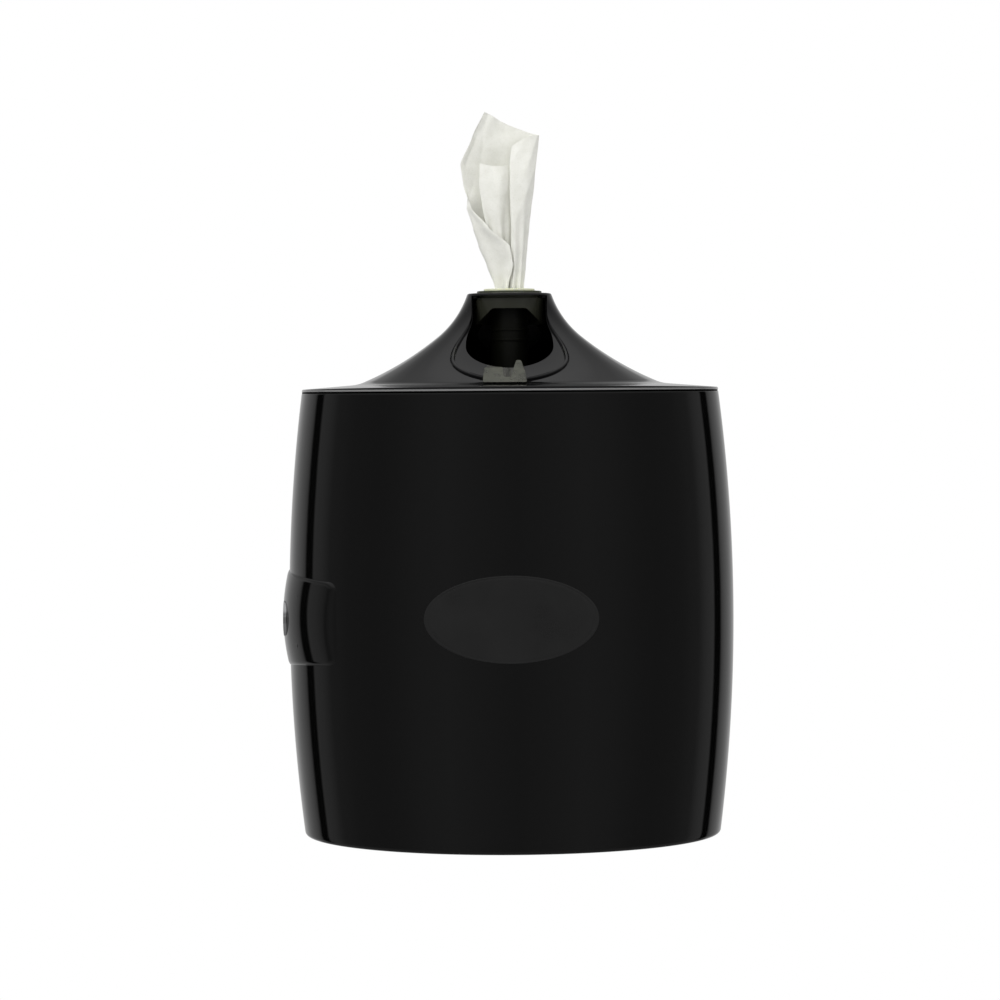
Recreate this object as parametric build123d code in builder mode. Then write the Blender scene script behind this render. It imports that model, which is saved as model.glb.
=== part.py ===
from build123d import *
import os
from math import atan2, cos, degrees, hypot, radians, sin, sqrt

# Wall dispenser for a centre-pull roll of wipes, which are drawn up through a cone on its top.
# The wall is the plane Y = 0, the front looks along -Y, +X is to the right and +Z is up.
# The origin is the middle of the four wall screws, at half the height of the body. Millimetres.

# Body: two moulded shells, barrel-shaped in height, that meet at an upright parting plane
body_height = 279
body_half_width = 140
side_narrowing = 9
cover_depth = 122
front_shallowing = 6
housing_depth = 116
shell_wall = 2.8
floor_wall = 3.0
bottom_chamfer = 2.4
body_bands = 7
back_corner_rounding = 16
parting_gap = 0.6
seam_gap = 0.8
run_out = 1.0
hair = 0.05

# Hood: one moulding of brim, cone and window, measured up from the seam
nozzle_ahead = 2
cone_height = 61.2
cone_top_radius = 26.3
cone_waist_radius = 45.0
cone_waist_height = 34.2
cone_foot_radius = 95.8
cone_foot_height = 4.4
cone_top_lean = 18.5
cone_bands = (3, 5)
cone_inner_bands = (2, 3)
cone_foot_chamfer = 3.0
cone_rim_chamfer = 1.0
brim_edge_height = 1.6
brim_chamfer = 0.8
hood_wall = 3.0

# Window in the front of the cone: a sunk step all round the opening
window_step = 1.4
window_neck_half = 23.6
window_neck_low = 48.5
window_rim = 1.6
window_wide_half = 36.6
window_wide_height = 19.5
window_low = 4.9
opening_neck_half = 22.8
opening_wide_half = 27.0
opening_wide_height = 27.5
opening_low = 14.2

# Nozzle, membrane and guide tube
nozzle_radius = 20.35
nozzle_rise = 2.0
nozzle_bore_clearance = 0.15
shoulder_radius = 22.6
skirt_wall = 2.0
skirt_drop = 19.4
nozzle_web = 6.8
sleeve_wall = 1.9
sleeve_drop = 2.2
arch_half = 20.0
arch_height = 10.2
arch_rounding = 6.0
membrane_radius = 16.0
membrane_pocket = 1.2
membrane_thickness = 2.8
membrane_chamfer = 0.8
membrane_hole_radius = 9.6
tube_radius = 11.65
tube_wall = 1.5
tube_fit = 0.05
tube_bell_start = 4
tube_bell_radius = 19
tube_bell_bands = 2
tube_low = 18
tube_ring_height = 1.6
tube_ring_rise = 0.7
tube_ring_heights = (38.4, 32.1)

# Clip on the sill of the window
clip_thickness = 2.2
clip_left = -16.6
clip_block_right = -4.0
clip_fin_left = 1.2
clip_right = 10.5
clip_bridge_top = 8.6
clip_block_top = 14.8
clip_fin_top = 19.2
clip_low = 5.2
clip_rounding = 1.5
clip_hook = 1.6
clip_hook_inset = 3.5
clip_hook_top = 17.5

# Hinge on the right: two ears of the cover between lugs of the housing
hinge_inset = 15
hinge_setback = 20
hinge_end_inset = 18
hinge_step = 0.4
knuckle_radius = 8
ear_height = 14
ear_gap = 1.0
ear_reach = 12
ear_root_radius = 4
lug_thickness = 4
lug_length = 26
notch_clearance = 3
hinge_relief = 3
pin_radius = 2.0
pin_running_clearance = 0.05
bush_radius = 3.25
bush_flange_radius = 4.6
bush_flange = 0.8

# Lock on the left, at half height, under a pillow-shaped boss
lock_setback = 16
lock_height = -2.0
boss_height = 60
boss_front_height = 51
boss_front = 78
boss_rise = 4.0
boss_edge_rise = 0.8
boss_bands = 4
boss_corner = 8
boss_peg_radius = 2.0
boss_peg_ahead = 28
boss_peg_height = 15
boss_peg_inset = 14
boss_peg_length = 7
barrel_radius = 9.5
barrel_head_radius = 11
barrel_head = 2.0
barrel_seat_rise = 0.6
barrel_length = 21.6
barrel_bore_radius = 6.55
barrel_fit = 0.1
pad_radius = 15
pad_inset = 9
nut_flats = 24
nut_thickness = 3.5
plug_clearance = 0.05
plug_head_radius = 8.0
plug_head = 1.0
plug_square = 7.0
plug_end_clearance = 0.2
keyway_width = 1.8
keyway_height = 8.5
keyway_depth = 16
cam_thickness = 2.4
cam_hub_radius = 9
cam_arm_low = 6.5
cam_arm_width = 6.5
cam_tip_width = 5.4
cam_tip_drop = 4
cam_rounding = 1.5
cam_clearance = 0.2
cam_screw_radius = 2.0
cam_screw_head_radius = 4.5
cam_screw_head = 2.4
cam_screw_length = 8

# Strike inside the left wall of the housing
strike_inset = 11
strike_sheet = 2.0
strike_front = 4
strike_length = 24
strike_half_height = 15
strike_tab_half = 5
strike_tab_length = 16
strike_bend = 1.5
strike_screw_setback = 14
strike_screw_spacing = 20
strike_screw_length = 6
hook_gap = 1.0

# Shelf that carries the roll, and the roll
shelf_gap = 5
shelf_plate = 3.4
shelf_rim = 8
shelf_rim_wall = 3
shelf_hole_radius = 20
shelf_counterbore = 2.3
shelf_post_height = 6
shelf_post_radius = 6
shelf_post_x = 60
shelf_posts_behind = (73, 18)
shelf_rib_thickness = 2.4
shelf_rib_height = 4.6
shelf_rib_spacing = 34
roll_room = 19
roll_height = 152
roll_core_radius = 24
roll_edge_chamfer = 1.5

# Fasteners
screw_radius = 1.75
screw_head_radius = 3.6
screw_head = 2.2
screw_hole_clearance = 0.15
screw_head_chamfer = 0.8
hood_screw_inset = 12
hood_screw_depths = (20, 58)
hood_ledge = 3.0
hood_boss_height = 3.0
hood_boss_radius = 5
hood_ledge_width = 19
hood_screw_length = 6.6
shelf_screw_length = 9.5
wall_hole_radius = 2.75
wall_hole_spacing_x = 160
wall_hole_spacing_z = 200
wall_pad_radius = 9
wall_pad_height = 3
housing_rib_x = 50
housing_rib_thickness = 2.4
housing_rib_height = 4

# Bare oval label on the front of the cover
label_half_width = 52.7
label_half_height = 26.4
label_height = 2.7
label_thickness = 0.4

# The wipe that stands in the nozzle, over its top: shares of its height, of its reach to the
# left and to the right, and of its depth
wipe_height = 111
wipe_reach = 30
wipe_depth = 15
wipe_sections = (
    (-0.126, 0.27, 0.25, 0.50),
    (0.02, 0.29, 0.26, 0.53),
    (0.126, 0.47, 0.33, 0.67),
    (0.315, 0.73, 0.42, 0.87),
    (0.505, 0.90, 0.50, 1.0),
    (0.694, 0.98, 0.58, 1.0),
    (1.02, 0.90, 0.80, 0.87),
)
# Its folds all round: share of the width from the left, and share of the depth from the middle
wipe_folds = (
    (0.0, 0.0),
    (0.07, -0.36),
    (0.16, -0.48),
    (0.25, -0.30),
    (0.32, -0.08),
    (0.46, -0.02),
    (0.58, -0.10),
    (0.70, -0.38),
    (0.80, -0.50),
    (0.92, -0.32),
    (1.0, 0.0),
    (0.90, 0.30),
    (0.76, 0.42),
    (0.62, 0.30),
    (0.50, 0.16),
    (0.38, 0.30),
    (0.24, 0.42),
    (0.10, 0.30),
)
# Its upper outline: shares of its reach and of its height
wipe_outline = ((-1.0, 0.70), (-0.68, 0.91), (-0.48, 1.0), (0.68, 0.865), (2.0, 0.70))
strand_radius = 3.5
strand_low = -100

# Worked out from the sizes above
body_top = body_height / 2
body_end_half_width = body_half_width - side_narrowing
side_arc_radius = (body_top**2 + side_narrowing**2) / (2 * side_narrowing)
front_arc_radius = (body_top**2 + front_shallowing**2) / (2 * front_shallowing)
cover_back = housing_depth + parting_gap
cover_top = body_top - seam_gap
cover_floor_top = shell_wall - body_top
floor_top = floor_wall - body_top
ledge_top = body_top - hood_boss_height
nozzle_depth = housing_depth + nozzle_ahead
nozzle_top = cone_height + nozzle_rise
cap_under = cone_height - hood_wall
membrane_under = nozzle_top - membrane_pocket
membrane_top = membrane_under + membrane_thickness
hinge_x = body_half_width - hinge_inset
hinge_y = hinge_setback - housing_depth
hinge_height = body_top - hinge_end_inset
lock_y = -cover_back - lock_setback
strike_face = body_half_width - strike_inset
strike_tab_end = strike_face - strike_tab_length
pad_face = body_half_width - pad_inset
barrel_seat = body_half_width + barrel_seat_rise
barrel_inner_end = barrel_seat - barrel_length
strike_start = lock_y + housing_depth - strike_front
pin_half_length = ear_height / 2 + ear_gap + lug_thickness
cam_outer = barrel_inner_end - cam_clearance
cam_inner = cam_outer - cam_thickness
hook_reach = strike_sheet + hook_gap - strike_start
plug_face = barrel_seat + barrel_head
wipe_base = body_top + membrane_top
hood_screw_x = body_end_half_width - hood_screw_inset
roll_radius = (
    min(nozzle_depth, cover_depth - nozzle_ahead, hinge_x - knuckle_radius) - roll_room
)
shelf_radius = roll_radius + shelf_gap + shelf_rim_wall
shelf_post_depths = [nozzle_depth - behind for behind in shelf_posts_behind]
shelf_bottom = floor_top + shelf_post_height
shelf_top = shelf_bottom + shelf_plate
far = 2 * body_height
boss_levels = [
    lock_height + boss_height * (band / boss_bands - 1 / 2) for band in range(boss_bands + 1)
]

nozzle_plane = Plane(origin=(0, -nozzle_depth, body_top), x_dir=(1, 0, 0), z_dir=(0, -1, 0))
nozzle_axis = Axis((0, -nozzle_depth, 0), (0, 0, 1))
lock_plane = Plane(origin=(0, lock_y, lock_height), x_dir=(-1, 0, 0), z_dir=(0, 1, 0))
lock_axis = Axis((0, lock_y, lock_height), (-1, 0, 0))
parting_plane = Plane.XZ.offset(housing_depth)
cover_plane = Plane.XZ.offset(cover_back)
left_face = Plane(origin=(0, lock_y, lock_height), x_dir=(0, -1, 0), z_dir=(-1, 0, 0))


def half_width_at(height):
    return body_half_width - side_arc_radius + sqrt(side_arc_radius**2 - height**2)


def cover_depth_at(height):
    return cover_depth - front_arc_radius + sqrt(front_arc_radius**2 - height**2)


# Heights of the sections of the barrel form between two heights, in even bands over the whole body
def body_levels(low, high):
    bands = [body_top * (2 * band / body_bands - 1) for band in range(body_bands + 1)]
    return [low, *(height for height in bands if low < height < high), high]


# Solid barrel form through sections at the given heights, set in from the body's outside and
# swelled towards its middle height
def body_form(levels, inset=0.0, swell=0.0):
    middle = (levels[0] + levels[-1]) / 2
    reach = levels[-1] - middle
    with BuildPart() as form:
        for height in levels:
            growth = swell * (1 - ((height - middle) / reach) ** 2) - inset
            half_width = half_width_at(height) + growth
            depth = cover_depth_at(height) + growth
            with BuildSketch(Plane.XY.offset(height)) as outline:
                with BuildLine():
                    front = EllipticalCenterArc(
                        (0, -housing_depth), half_width, depth, start_angle=180, arc_size=180
                    )
                    Polyline(front @ 1, (half_width, -inset), (-half_width, -inset), front @ 0)
                make_face()
                fillet(outline.vertices().group_by(Axis.Y)[-1], back_corner_rounding - inset)
        loft(ruled=True)
    return form.part


body_solid = body_form(body_levels(-body_top, body_top))
inner_space = body_form(body_levels(-body_top, body_top), hinge_step)


# The cone's outline is two tangent arcs, so an outline set in from it keeps the same leans
def lean_between(upper, lower):
    return degrees(atan2(lower[0] - upper[0], upper[1] - lower[1]))


cone_top = (cone_top_radius, cone_height)
cone_waist = (cone_waist_radius, cone_waist_height)
cone_foot = (cone_foot_radius, cone_foot_height)
cone_waist_lean = 2 * lean_between(cone_top, cone_waist) - cone_top_lean
cone_foot_lean = 2 * lean_between(cone_waist, cone_foot) - cone_waist_lean


def set_in(point, lean, inset):
    return (point[0] - inset * cos(radians(lean)), point[1] - inset * sin(radians(lean)))


# Points along a curve at even steps
def steps_along(curve, steps):
    return [curve @ (step / steps) for step in range(steps + 1)]


# Solid cone, set in from the outside of the real one, running down through the seam
def cone_form(inset=0.0, bands=cone_bands):
    top = set_in(cone_top, cone_top_lean, inset)
    waist = set_in(cone_waist, cone_waist_lean, inset)
    foot = set_in(cone_foot, cone_foot_lean, inset)
    start = (sin(radians(cone_top_lean)), -cos(radians(cone_top_lean)))
    with BuildPart() as form:
        with BuildSketch(nozzle_plane):
            with BuildLine():
                upper = TangentArc(top, waist, tangent=start, mode=Mode.PRIVATE)
                lower = TangentArc(waist, foot, tangent=upper % 1, mode=Mode.PRIVATE)
                Polyline(
                    *steps_along(upper, bands[0]),
                    *steps_along(lower, bands[1])[1:],
                    (foot[0], -run_out),
                    (0, -run_out),
                    (0, top[1]),
                    close=True,
                )
            make_face()
        revolve(axis=nozzle_axis)
    return form.part


# Cutter for the window, seen from the front: a neck that flares to a round foot
def window_form(neck_half, wide_half, wide_height, low):
    top = cone_height - window_rim
    with BuildPart() as form:
        with BuildSketch(nozzle_plane):
            with BuildLine():
                neck = Line((neck_half, top), (neck_half, window_neck_low))
                flare = Spline(
                    neck @ 1, (wide_half, wide_height), tangents=[(0, -1), (0, -1)]
                )
                EllipticalCenterArc(
                    (0, wide_height), wide_half, wide_height - low, arc_size=-90
                )
                Polyline((0, low), (0, top), neck @ 0)
            make_face()
            mirror(about=Plane.YZ)
        extrude(amount=nozzle_depth)
    return form.part


# Skin between two insets of the cone, seen through an outline from the front
def cone_skin(outer_inset, inner_inset, cutter):
    with BuildPart() as skin:
        add(cone_form(outer_inset))
        add(cone_form(inner_inset), mode=Mode.SUBTRACT)
        add(cutter, mode=Mode.INTERSECT)
    return skin.part


# Pan-head screw, its head over the XY plane and its shank below
def pan_screw(length):
    with BuildPart() as screw:
        with BuildSketch():
            Circle(screw_head_radius)
        extrude(amount=screw_head)
        chamfer(screw.edges().group_by(Axis.Z)[-1], screw_head_chamfer)
        with BuildSketch():
            Circle(screw_radius)
        extrude(amount=-length)
    return screw.part


# The window's two outlines
window_outside = window_form(window_neck_half, window_wide_half, window_wide_height, window_low)
window_opening = window_form(
    opening_neck_half, opening_wide_half, opening_wide_height, opening_low
)


# Places of fasteners that stand in pairs either side of the middle
def plan_points(half_spacing, depths):
    return [(x, -depth) for x in (-half_spacing, half_spacing) for depth in depths]


# Distance of an edge's middle from the nozzle's axis
def reach_of(edge):
    middle = edge @ 0.5
    return hypot(middle.X, middle.Y + nozzle_depth)


# Hood: brim and cone in one moulding, carried by bosses on the housing's ledge
with BuildPart() as hood:
    add(cone_form())
    with BuildSketch(nozzle_plane):
        Polygon(
            (0, 0),
            (far, 0),
            (far, brim_edge_height),
            (body_end_half_width, brim_edge_height),
            cone_foot,
            (0, cone_foot_height),
            align=None,
        )
    revolve(axis=nozzle_axis)
    foot_edge = (
        hood.edges()
        .filter_by(GeomType.CIRCLE)
        .filter_by(lambda edge: abs(edge.radius - cone_foot_radius) < hair)
        .sort_by(Axis.Z)[-1]
    )
    chamfer(foot_edge, cone_foot_chamfer)
    chamfer(hood.edges().group_by(Axis.Z)[-1], cone_rim_chamfer)
    add(body_form((body_top, body_top + nozzle_top)), mode=Mode.INTERSECT)
    brim_edges = hood.edges().filter_by(
        lambda edge: edge.center().Z > body_top + brim_edge_height / 2
        and reach_of(edge) > cone_foot_radius + cone_foot_chamfer
    )
    chamfer(brim_edges, brim_chamfer)
    add(cone_form(hood_wall, cone_inner_bands), mode=Mode.SUBTRACT)
    with BuildSketch(nozzle_plane):
        Rectangle(cone_top_radius - hood_wall / 2, cone_height, align=Align.MIN)
        Rectangle(cone_top_radius, cone_height - hood_wall, align=Align.MIN, mode=Mode.SUBTRACT)
    revolve(axis=nozzle_axis)
    with BuildSketch(Plane.XY.offset(ledge_top)):
        with Locations(*plan_points(hood_screw_x, hood_screw_depths)):
            Circle(hood_boss_radius)
    extrude(amount=hood_boss_height + brim_edge_height / 2)
    with BuildSketch(Plane.XY.offset(ledge_top)):
        with Locations(*plan_points(hood_screw_x, hood_screw_depths)):
            Circle(screw_radius)
    extrude(amount=hood_screw_length - hood_ledge, mode=Mode.SUBTRACT)
    with BuildSketch(Plane.XY.offset(body_top)):
        with Locations((0, -nozzle_depth)):
            Circle(nozzle_radius + nozzle_bore_clearance)
    extrude(amount=far, mode=Mode.SUBTRACT)
    add(cone_skin(-run_out, window_step, window_outside), mode=Mode.SUBTRACT)
    add(window_opening, mode=Mode.SUBTRACT)
hood.part.label = "hood"

# Lugs of the housing over and under each ear of the cover
with BuildPart() as hinge_lugs:
    for side in (-1, 1):
        with BuildSketch(Plane.XY.offset(hinge_height + side * (ear_height / 2 + ear_gap))):
            with Locations((hinge_x, hinge_y), (body_half_width, hinge_y + lug_length)):
                Circle(knuckle_radius)
            make_hull()
        extrude(amount=side * lug_thickness)
    mirror(about=Plane.XY)
    add(inner_space, mode=Mode.INTERSECT)

# Block inside the left wall that carries the strike
with BuildPart() as strike_block:
    with BuildSketch(left_face.offset(strike_face)):
        with Locations((strike_start, 0)):
            Rectangle(strike_length, 2 * strike_half_height + strike_sheet, align=(Align.MAX, Align.CENTER))
    extrude(amount=strike_face)
    add(inner_space, mode=Mode.INTERSECT)

# Ledge round the top of the housing that the hood is screwed to
with BuildPart() as ledge:
    with BuildSketch(Plane.XY.offset(ledge_top)):
        with Locations((0, -housing_depth)):
            Rectangle(2 * body_half_width, housing_depth, align=(Align.CENTER, Align.MIN))
            Rectangle(
                2 * (body_end_half_width - hood_ledge_width),
                housing_depth - hood_ledge_width,
                align=(Align.CENTER, Align.MIN),
                mode=Mode.SUBTRACT,
            )
    extrude(amount=-hood_ledge)
    add(inner_space, mode=Mode.INTERSECT)

# Back housing: tub with floor, ledge, hinge lugs and strike block, open towards the cover
with BuildPart() as back_housing:
    add(body_solid)
    split(bisect_by=parting_plane, keep=Keep.BOTTOM)
    chamfer(
        back_housing.edges()
        .group_by(Axis.Z)[0]
        .filter_by(lambda edge: edge.center().Y > run_out - housing_depth),
        bottom_chamfer,
    )
    add(body_form(body_levels(floor_top, body_top + run_out), shell_wall), mode=Mode.SUBTRACT)
    add(ledge.part)
    with BuildSketch(Plane.XZ):
        with GridLocations(wall_hole_spacing_x, wall_hole_spacing_z, 2, 2):
            Circle(wall_pad_radius)
    extrude(amount=shell_wall + wall_pad_height)
    with BuildSketch(Plane.XZ.offset(shell_wall)):
        with GridLocations(2 * housing_rib_x, 0, 2, 1):
            Rectangle(housing_rib_thickness, body_height - 2 * hood_ledge_width)
    extrude(amount=housing_rib_height)
    with BuildSketch(Plane.XY.offset(floor_top)):
        with Locations(*plan_points(shelf_post_x, shelf_post_depths)):
            Circle(shelf_post_radius)
    extrude(amount=shelf_post_height)
    add(hinge_lugs.part)
    add(strike_block.part)
    with BuildSketch(Plane.XY.offset(ledge_top)):
        with Locations(*plan_points(hood_screw_x, hood_screw_depths)):
            Circle(screw_radius + screw_hole_clearance)
    extrude(amount=-hood_ledge, mode=Mode.SUBTRACT)
    with BuildSketch(Plane.XY.offset(shelf_bottom)):
        with Locations(*plan_points(shelf_post_x, shelf_post_depths)):
            Circle(screw_radius)
    extrude(amount=shelf_plate - shelf_screw_length, mode=Mode.SUBTRACT)
    with BuildSketch(Plane.XZ):
        with GridLocations(wall_hole_spacing_x, wall_hole_spacing_z, 2, 2):
            Circle(wall_hole_radius)
    extrude(amount=shell_wall + wall_pad_height, mode=Mode.SUBTRACT)
    with BuildSketch(Plane.XZ.offset(housing_depth - hinge_relief)):
        with Locations((hinge_x - knuckle_radius, 0)):
            Rectangle(body_half_width, far, align=(Align.MIN, Align.CENTER))
    extrude(amount=hinge_relief, mode=Mode.SUBTRACT)
    with BuildSketch(Plane.XZ.offset(-hinge_y - knuckle_radius - notch_clearance)):
        with GridLocations(0, 2 * hinge_height, 1, 2):
            with Locations((hinge_x - knuckle_radius - notch_clearance, 0)):
                Rectangle(
                    body_half_width, ear_height + 2 * ear_gap, align=(Align.MIN, Align.CENTER)
                )
    extrude(amount=housing_depth, mode=Mode.SUBTRACT)
    with BuildSketch():
        with Locations((hinge_x, hinge_y)):
            Circle(pin_radius)
    extrude(amount=hinge_height + pin_half_length, both=True, mode=Mode.SUBTRACT)
    with BuildSketch(left_face.offset(strike_face)):
        with Locations((strike_start - strike_screw_setback, 0)):
            with GridLocations(0, strike_screw_spacing, 1, 2):
                Circle(screw_radius)
    extrude(amount=strike_screw_length - strike_sheet, mode=Mode.SUBTRACT)
back_housing.part.label = "back_housing"

# Strike: bent sheet on the block, with a tab across the lock's hook
with BuildPart() as strike_plate:
    with BuildSketch(left_face.offset(strike_face)):
        with Locations((strike_start, 0)):
            Rectangle(strike_length, 2 * strike_half_height, align=(Align.MAX, Align.CENTER))
    extrude(amount=-strike_sheet)
    fillet(
        strike_plate.edges().filter_by(Axis.X).group_by(Axis.Y)[-1], strike_sheet
    )
    with BuildSketch(left_face.offset(strike_face)):
        with Locations((strike_start, 0)):
            Rectangle(strike_sheet, 2 * strike_tab_half, align=(Align.MAX, Align.CENTER))
    extrude(amount=strike_tab_end - strike_face)
    fillet(
        strike_plate.edges()
        .filter_by(Axis.Z)
        .filter_by(lambda edge: abs(edge.center().X + strike_face - strike_sheet) < hair)
        .filter_by(lambda edge: abs(edge.center().Z - lock_height) < hair),
        strike_bend,
    )
    with BuildSketch(left_face.offset(strike_face)):
        with Locations((strike_start - strike_screw_setback, 0)):
            with GridLocations(0, strike_screw_spacing, 1, 2):
                Circle(screw_radius + screw_hole_clearance)
    extrude(amount=-strike_sheet, mode=Mode.SUBTRACT)
strike_plate.part.label = "strike_plate"

# Ears of the cover, just inside the outside of the body
with BuildPart() as cover_ears:
    with BuildSketch(Plane.XY.offset(hinge_height - ear_height / 2)):
        with Locations((hinge_x, hinge_y)):
            Circle(knuckle_radius)
        with Locations((hinge_x, -cover_back - ear_reach)):
            Circle(ear_root_radius)
        with Locations((hinge_x + knuckle_radius, -cover_back - ear_reach)):
            Circle(ear_root_radius)
        make_hull()
    extrude(amount=ear_height)
    mirror(about=Plane.XY)
    add(inner_space, mode=Mode.INTERSECT)

# Flat pad inside the cover for the lock's nut
with BuildPart() as lock_pad:
    with BuildSketch(left_face.offset(pad_face)):
        Circle(pad_radius)
    extrude(amount=pad_face)
    add(inner_space, mode=Mode.INTERSECT)
    split(bisect_by=cover_plane, keep=Keep.TOP)

# Front cover: shell with a floor, open at the back and at the top, hinged on the right
with BuildPart() as front_cover:
    add(body_form(body_levels(-body_top, cover_top)))
    split(bisect_by=cover_plane, keep=Keep.TOP)
    chamfer(
        front_cover.edges()
        .group_by(Axis.Z)[0]
        .filter_by(lambda edge: edge.center().Y < -cover_back - run_out),
        bottom_chamfer,
    )
    add(body_form(body_levels(cover_floor_top, body_top + run_out), shell_wall), mode=Mode.SUBTRACT)
    add(cover_ears.part)
    add(lock_pad.part)
    with BuildSketch():
        with Locations((hinge_x, hinge_y)):
            Circle(bush_radius)
    extrude(amount=body_top, both=True, mode=Mode.SUBTRACT)
    with BuildSketch(left_face):
        Circle(barrel_radius + barrel_fit)
        with Locations((boss_peg_ahead, 0)):
            with GridLocations(0, 2 * boss_peg_height, 1, 2):
                Circle(boss_peg_radius + barrel_fit)
    extrude(amount=body_half_width, mode=Mode.SUBTRACT)
front_cover.part.label = "front_cover"


# Side view of the boss: tall at the parting, shorter and rounded at its front end
with BuildPart() as boss_outline:
    with BuildSketch(left_face) as boss_side:
        with BuildLine():
            Polyline(
                (-lock_setback, -boss_height / 2),
                (boss_front - lock_setback, -boss_front_height / 2),
                (boss_front - lock_setback, boss_front_height / 2),
                (-lock_setback, boss_height / 2),
                close=True,
            )
        make_face()
        fillet(boss_side.vertices().group_by(Axis.X)[-1], boss_corner)
    extrude(amount=far)

# Lock boss: pillow-shaped cap over the lock, seated on the cover's side
with BuildPart() as lock_boss:
    add(body_form(boss_levels, -boss_edge_rise, boss_rise - boss_edge_rise))
    add(boss_outline.part, mode=Mode.INTERSECT)
    add(body_solid, mode=Mode.SUBTRACT)
    with BuildSketch(left_face.offset(body_half_width - boss_peg_inset)):
        with Locations((boss_peg_ahead, 0)):
            with GridLocations(0, 2 * boss_peg_height, 1, 2):
                Circle(boss_peg_radius)
    extrude(amount=boss_peg_length)
    with BuildSketch(left_face):
        Circle(barrel_radius + barrel_fit)
    extrude(amount=far, mode=Mode.SUBTRACT)
    with BuildSketch(left_face.offset(barrel_seat)):
        Circle(barrel_head_radius + barrel_fit)
    extrude(amount=far, mode=Mode.SUBTRACT)
lock_boss.part.label = "lock_boss"


# Lock barrel, with a bore for the plug and a recess for the plug's head
with BuildPart() as lock_barrel:
    with BuildSketch(lock_plane):
        Polygon(
            (barrel_inner_end, barrel_bore_radius),
            (barrel_inner_end, barrel_radius),
            (barrel_seat, barrel_radius),
            (barrel_seat, barrel_head_radius),
            (plug_face, barrel_head_radius),
            (plug_face, plug_head_radius + plug_clearance),
            (plug_face - plug_head - plug_clearance, plug_head_radius + plug_clearance),
            (plug_face - plug_head - plug_clearance, barrel_bore_radius),
            align=None,
        )
    revolve(axis=lock_axis)
lock_barrel.part.label = "lock_barrel"

# Hexagon nut that clamps barrel, boss and cover together
with BuildPart() as lock_nut:
    with BuildSketch(left_face.offset(pad_face)):
        RegularPolygon(nut_flats / 2, 6, major_radius=False)
        Circle(barrel_radius, mode=Mode.SUBTRACT)
    extrude(amount=-nut_thickness)
lock_nut.part.label = "lock_nut"

# Lock plug with its keyway, and a square tail for the cam
with BuildPart() as lock_plug:
    with BuildSketch(lock_plane):
        Polygon(
            (barrel_inner_end - plug_clearance, 0),
            (barrel_inner_end - plug_clearance, barrel_bore_radius - plug_clearance),
            (plug_face - plug_head, barrel_bore_radius - plug_clearance),
            (plug_face - plug_head, plug_head_radius),
            (plug_face, plug_head_radius),
            (plug_face, 0),
            align=None,
        )
    revolve(axis=lock_axis)
    with BuildSketch(left_face.offset(cam_inner + plug_end_clearance)):
        Rectangle(plug_square, plug_square)
    extrude(amount=cam_thickness)
    with BuildSketch(left_face.offset(plug_face)):
        Rectangle(keyway_width, keyway_height)
    extrude(amount=-keyway_depth, mode=Mode.SUBTRACT)
    with BuildSketch(left_face.offset(cam_inner)):
        Circle(cam_screw_radius)
    extrude(amount=cam_screw_length, mode=Mode.SUBTRACT)
lock_plug.part.label = "lock_plug"

# Hook cam, stored released: its arm points up, and swings back behind the strike's tab to lock
with BuildPart() as lock_cam:
    with BuildSketch(left_face.offset(cam_inner)) as hook:
        with BuildLine():
            Polyline(
                (cam_arm_low, 0),
                (cam_arm_low, hook_reach),
                (-cam_tip_drop, hook_reach),
                (-cam_tip_drop, hook_reach + cam_tip_width),
                (cam_arm_low + cam_arm_width, hook_reach + cam_tip_width),
                (cam_arm_low + cam_arm_width, cam_hub_radius / 2),
                (cam_hub_radius / 2, -cam_hub_radius / 2),
                close=True,
            )
        make_face()
        fillet(hook.vertices().group_by(Axis.Y)[-1], cam_rounding)
        Circle(cam_hub_radius)
        Rectangle(plug_square, plug_square, mode=Mode.SUBTRACT)
    extrude(amount=cam_thickness)
lock_cam.part.label = "lock_cam"

# Screw that holds the cam on the plug
with BuildPart() as cam_screw:
    with BuildSketch(left_face.offset(cam_inner)):
        Circle(cam_screw_head_radius)
    extrude(amount=-cam_screw_head)
    chamfer(cam_screw.edges().group_by(Axis.X)[-1], screw_head_chamfer)
    with BuildSketch(left_face.offset(cam_inner)):
        Circle(cam_screw_radius)
    extrude(amount=cam_screw_length)
cam_screw.part.label = "cam_screw"


# Hinge pin in the lugs and flanged bush in the ear, about a height
def hinge_pin(height):
    with BuildPart() as pin:
        with BuildSketch(Plane.XY.offset(height)):
            with Locations((hinge_x, hinge_y)):
                Circle(pin_radius)
        extrude(amount=pin_half_length, both=True)
    return pin.part


def hinge_bush(height):
    with BuildPart() as bush:
        with BuildSketch(Plane.XY.offset(height - ear_height / 2)):
            with Locations((hinge_x, hinge_y)):
                Circle(bush_radius)
        extrude(amount=ear_height)
        with BuildSketch(Plane.XY.offset(height - ear_height / 2)):
            with Locations((hinge_x, hinge_y)):
                Circle(bush_flange_radius)
        extrude(amount=-bush_flange)
        with BuildSketch(Plane.XY.offset(height)):
            with Locations((hinge_x, hinge_y)):
                Circle(pin_radius + pin_running_clearance)
        extrude(amount=ear_height, both=True, mode=Mode.SUBTRACT)
    return bush.part


hinge_pin_top = hinge_pin(hinge_height)
hinge_pin_top.label = "hinge_pin_top"
hinge_pin_bottom = hinge_pin(-hinge_height)
hinge_pin_bottom.label = "hinge_pin_bottom"
hinge_bush_top = hinge_bush(hinge_height)
hinge_bush_top.label = "hinge_bush_top"
hinge_bush_bottom = hinge_bush(-hinge_height)
hinge_bush_bottom.label = "hinge_bush_bottom"

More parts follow.
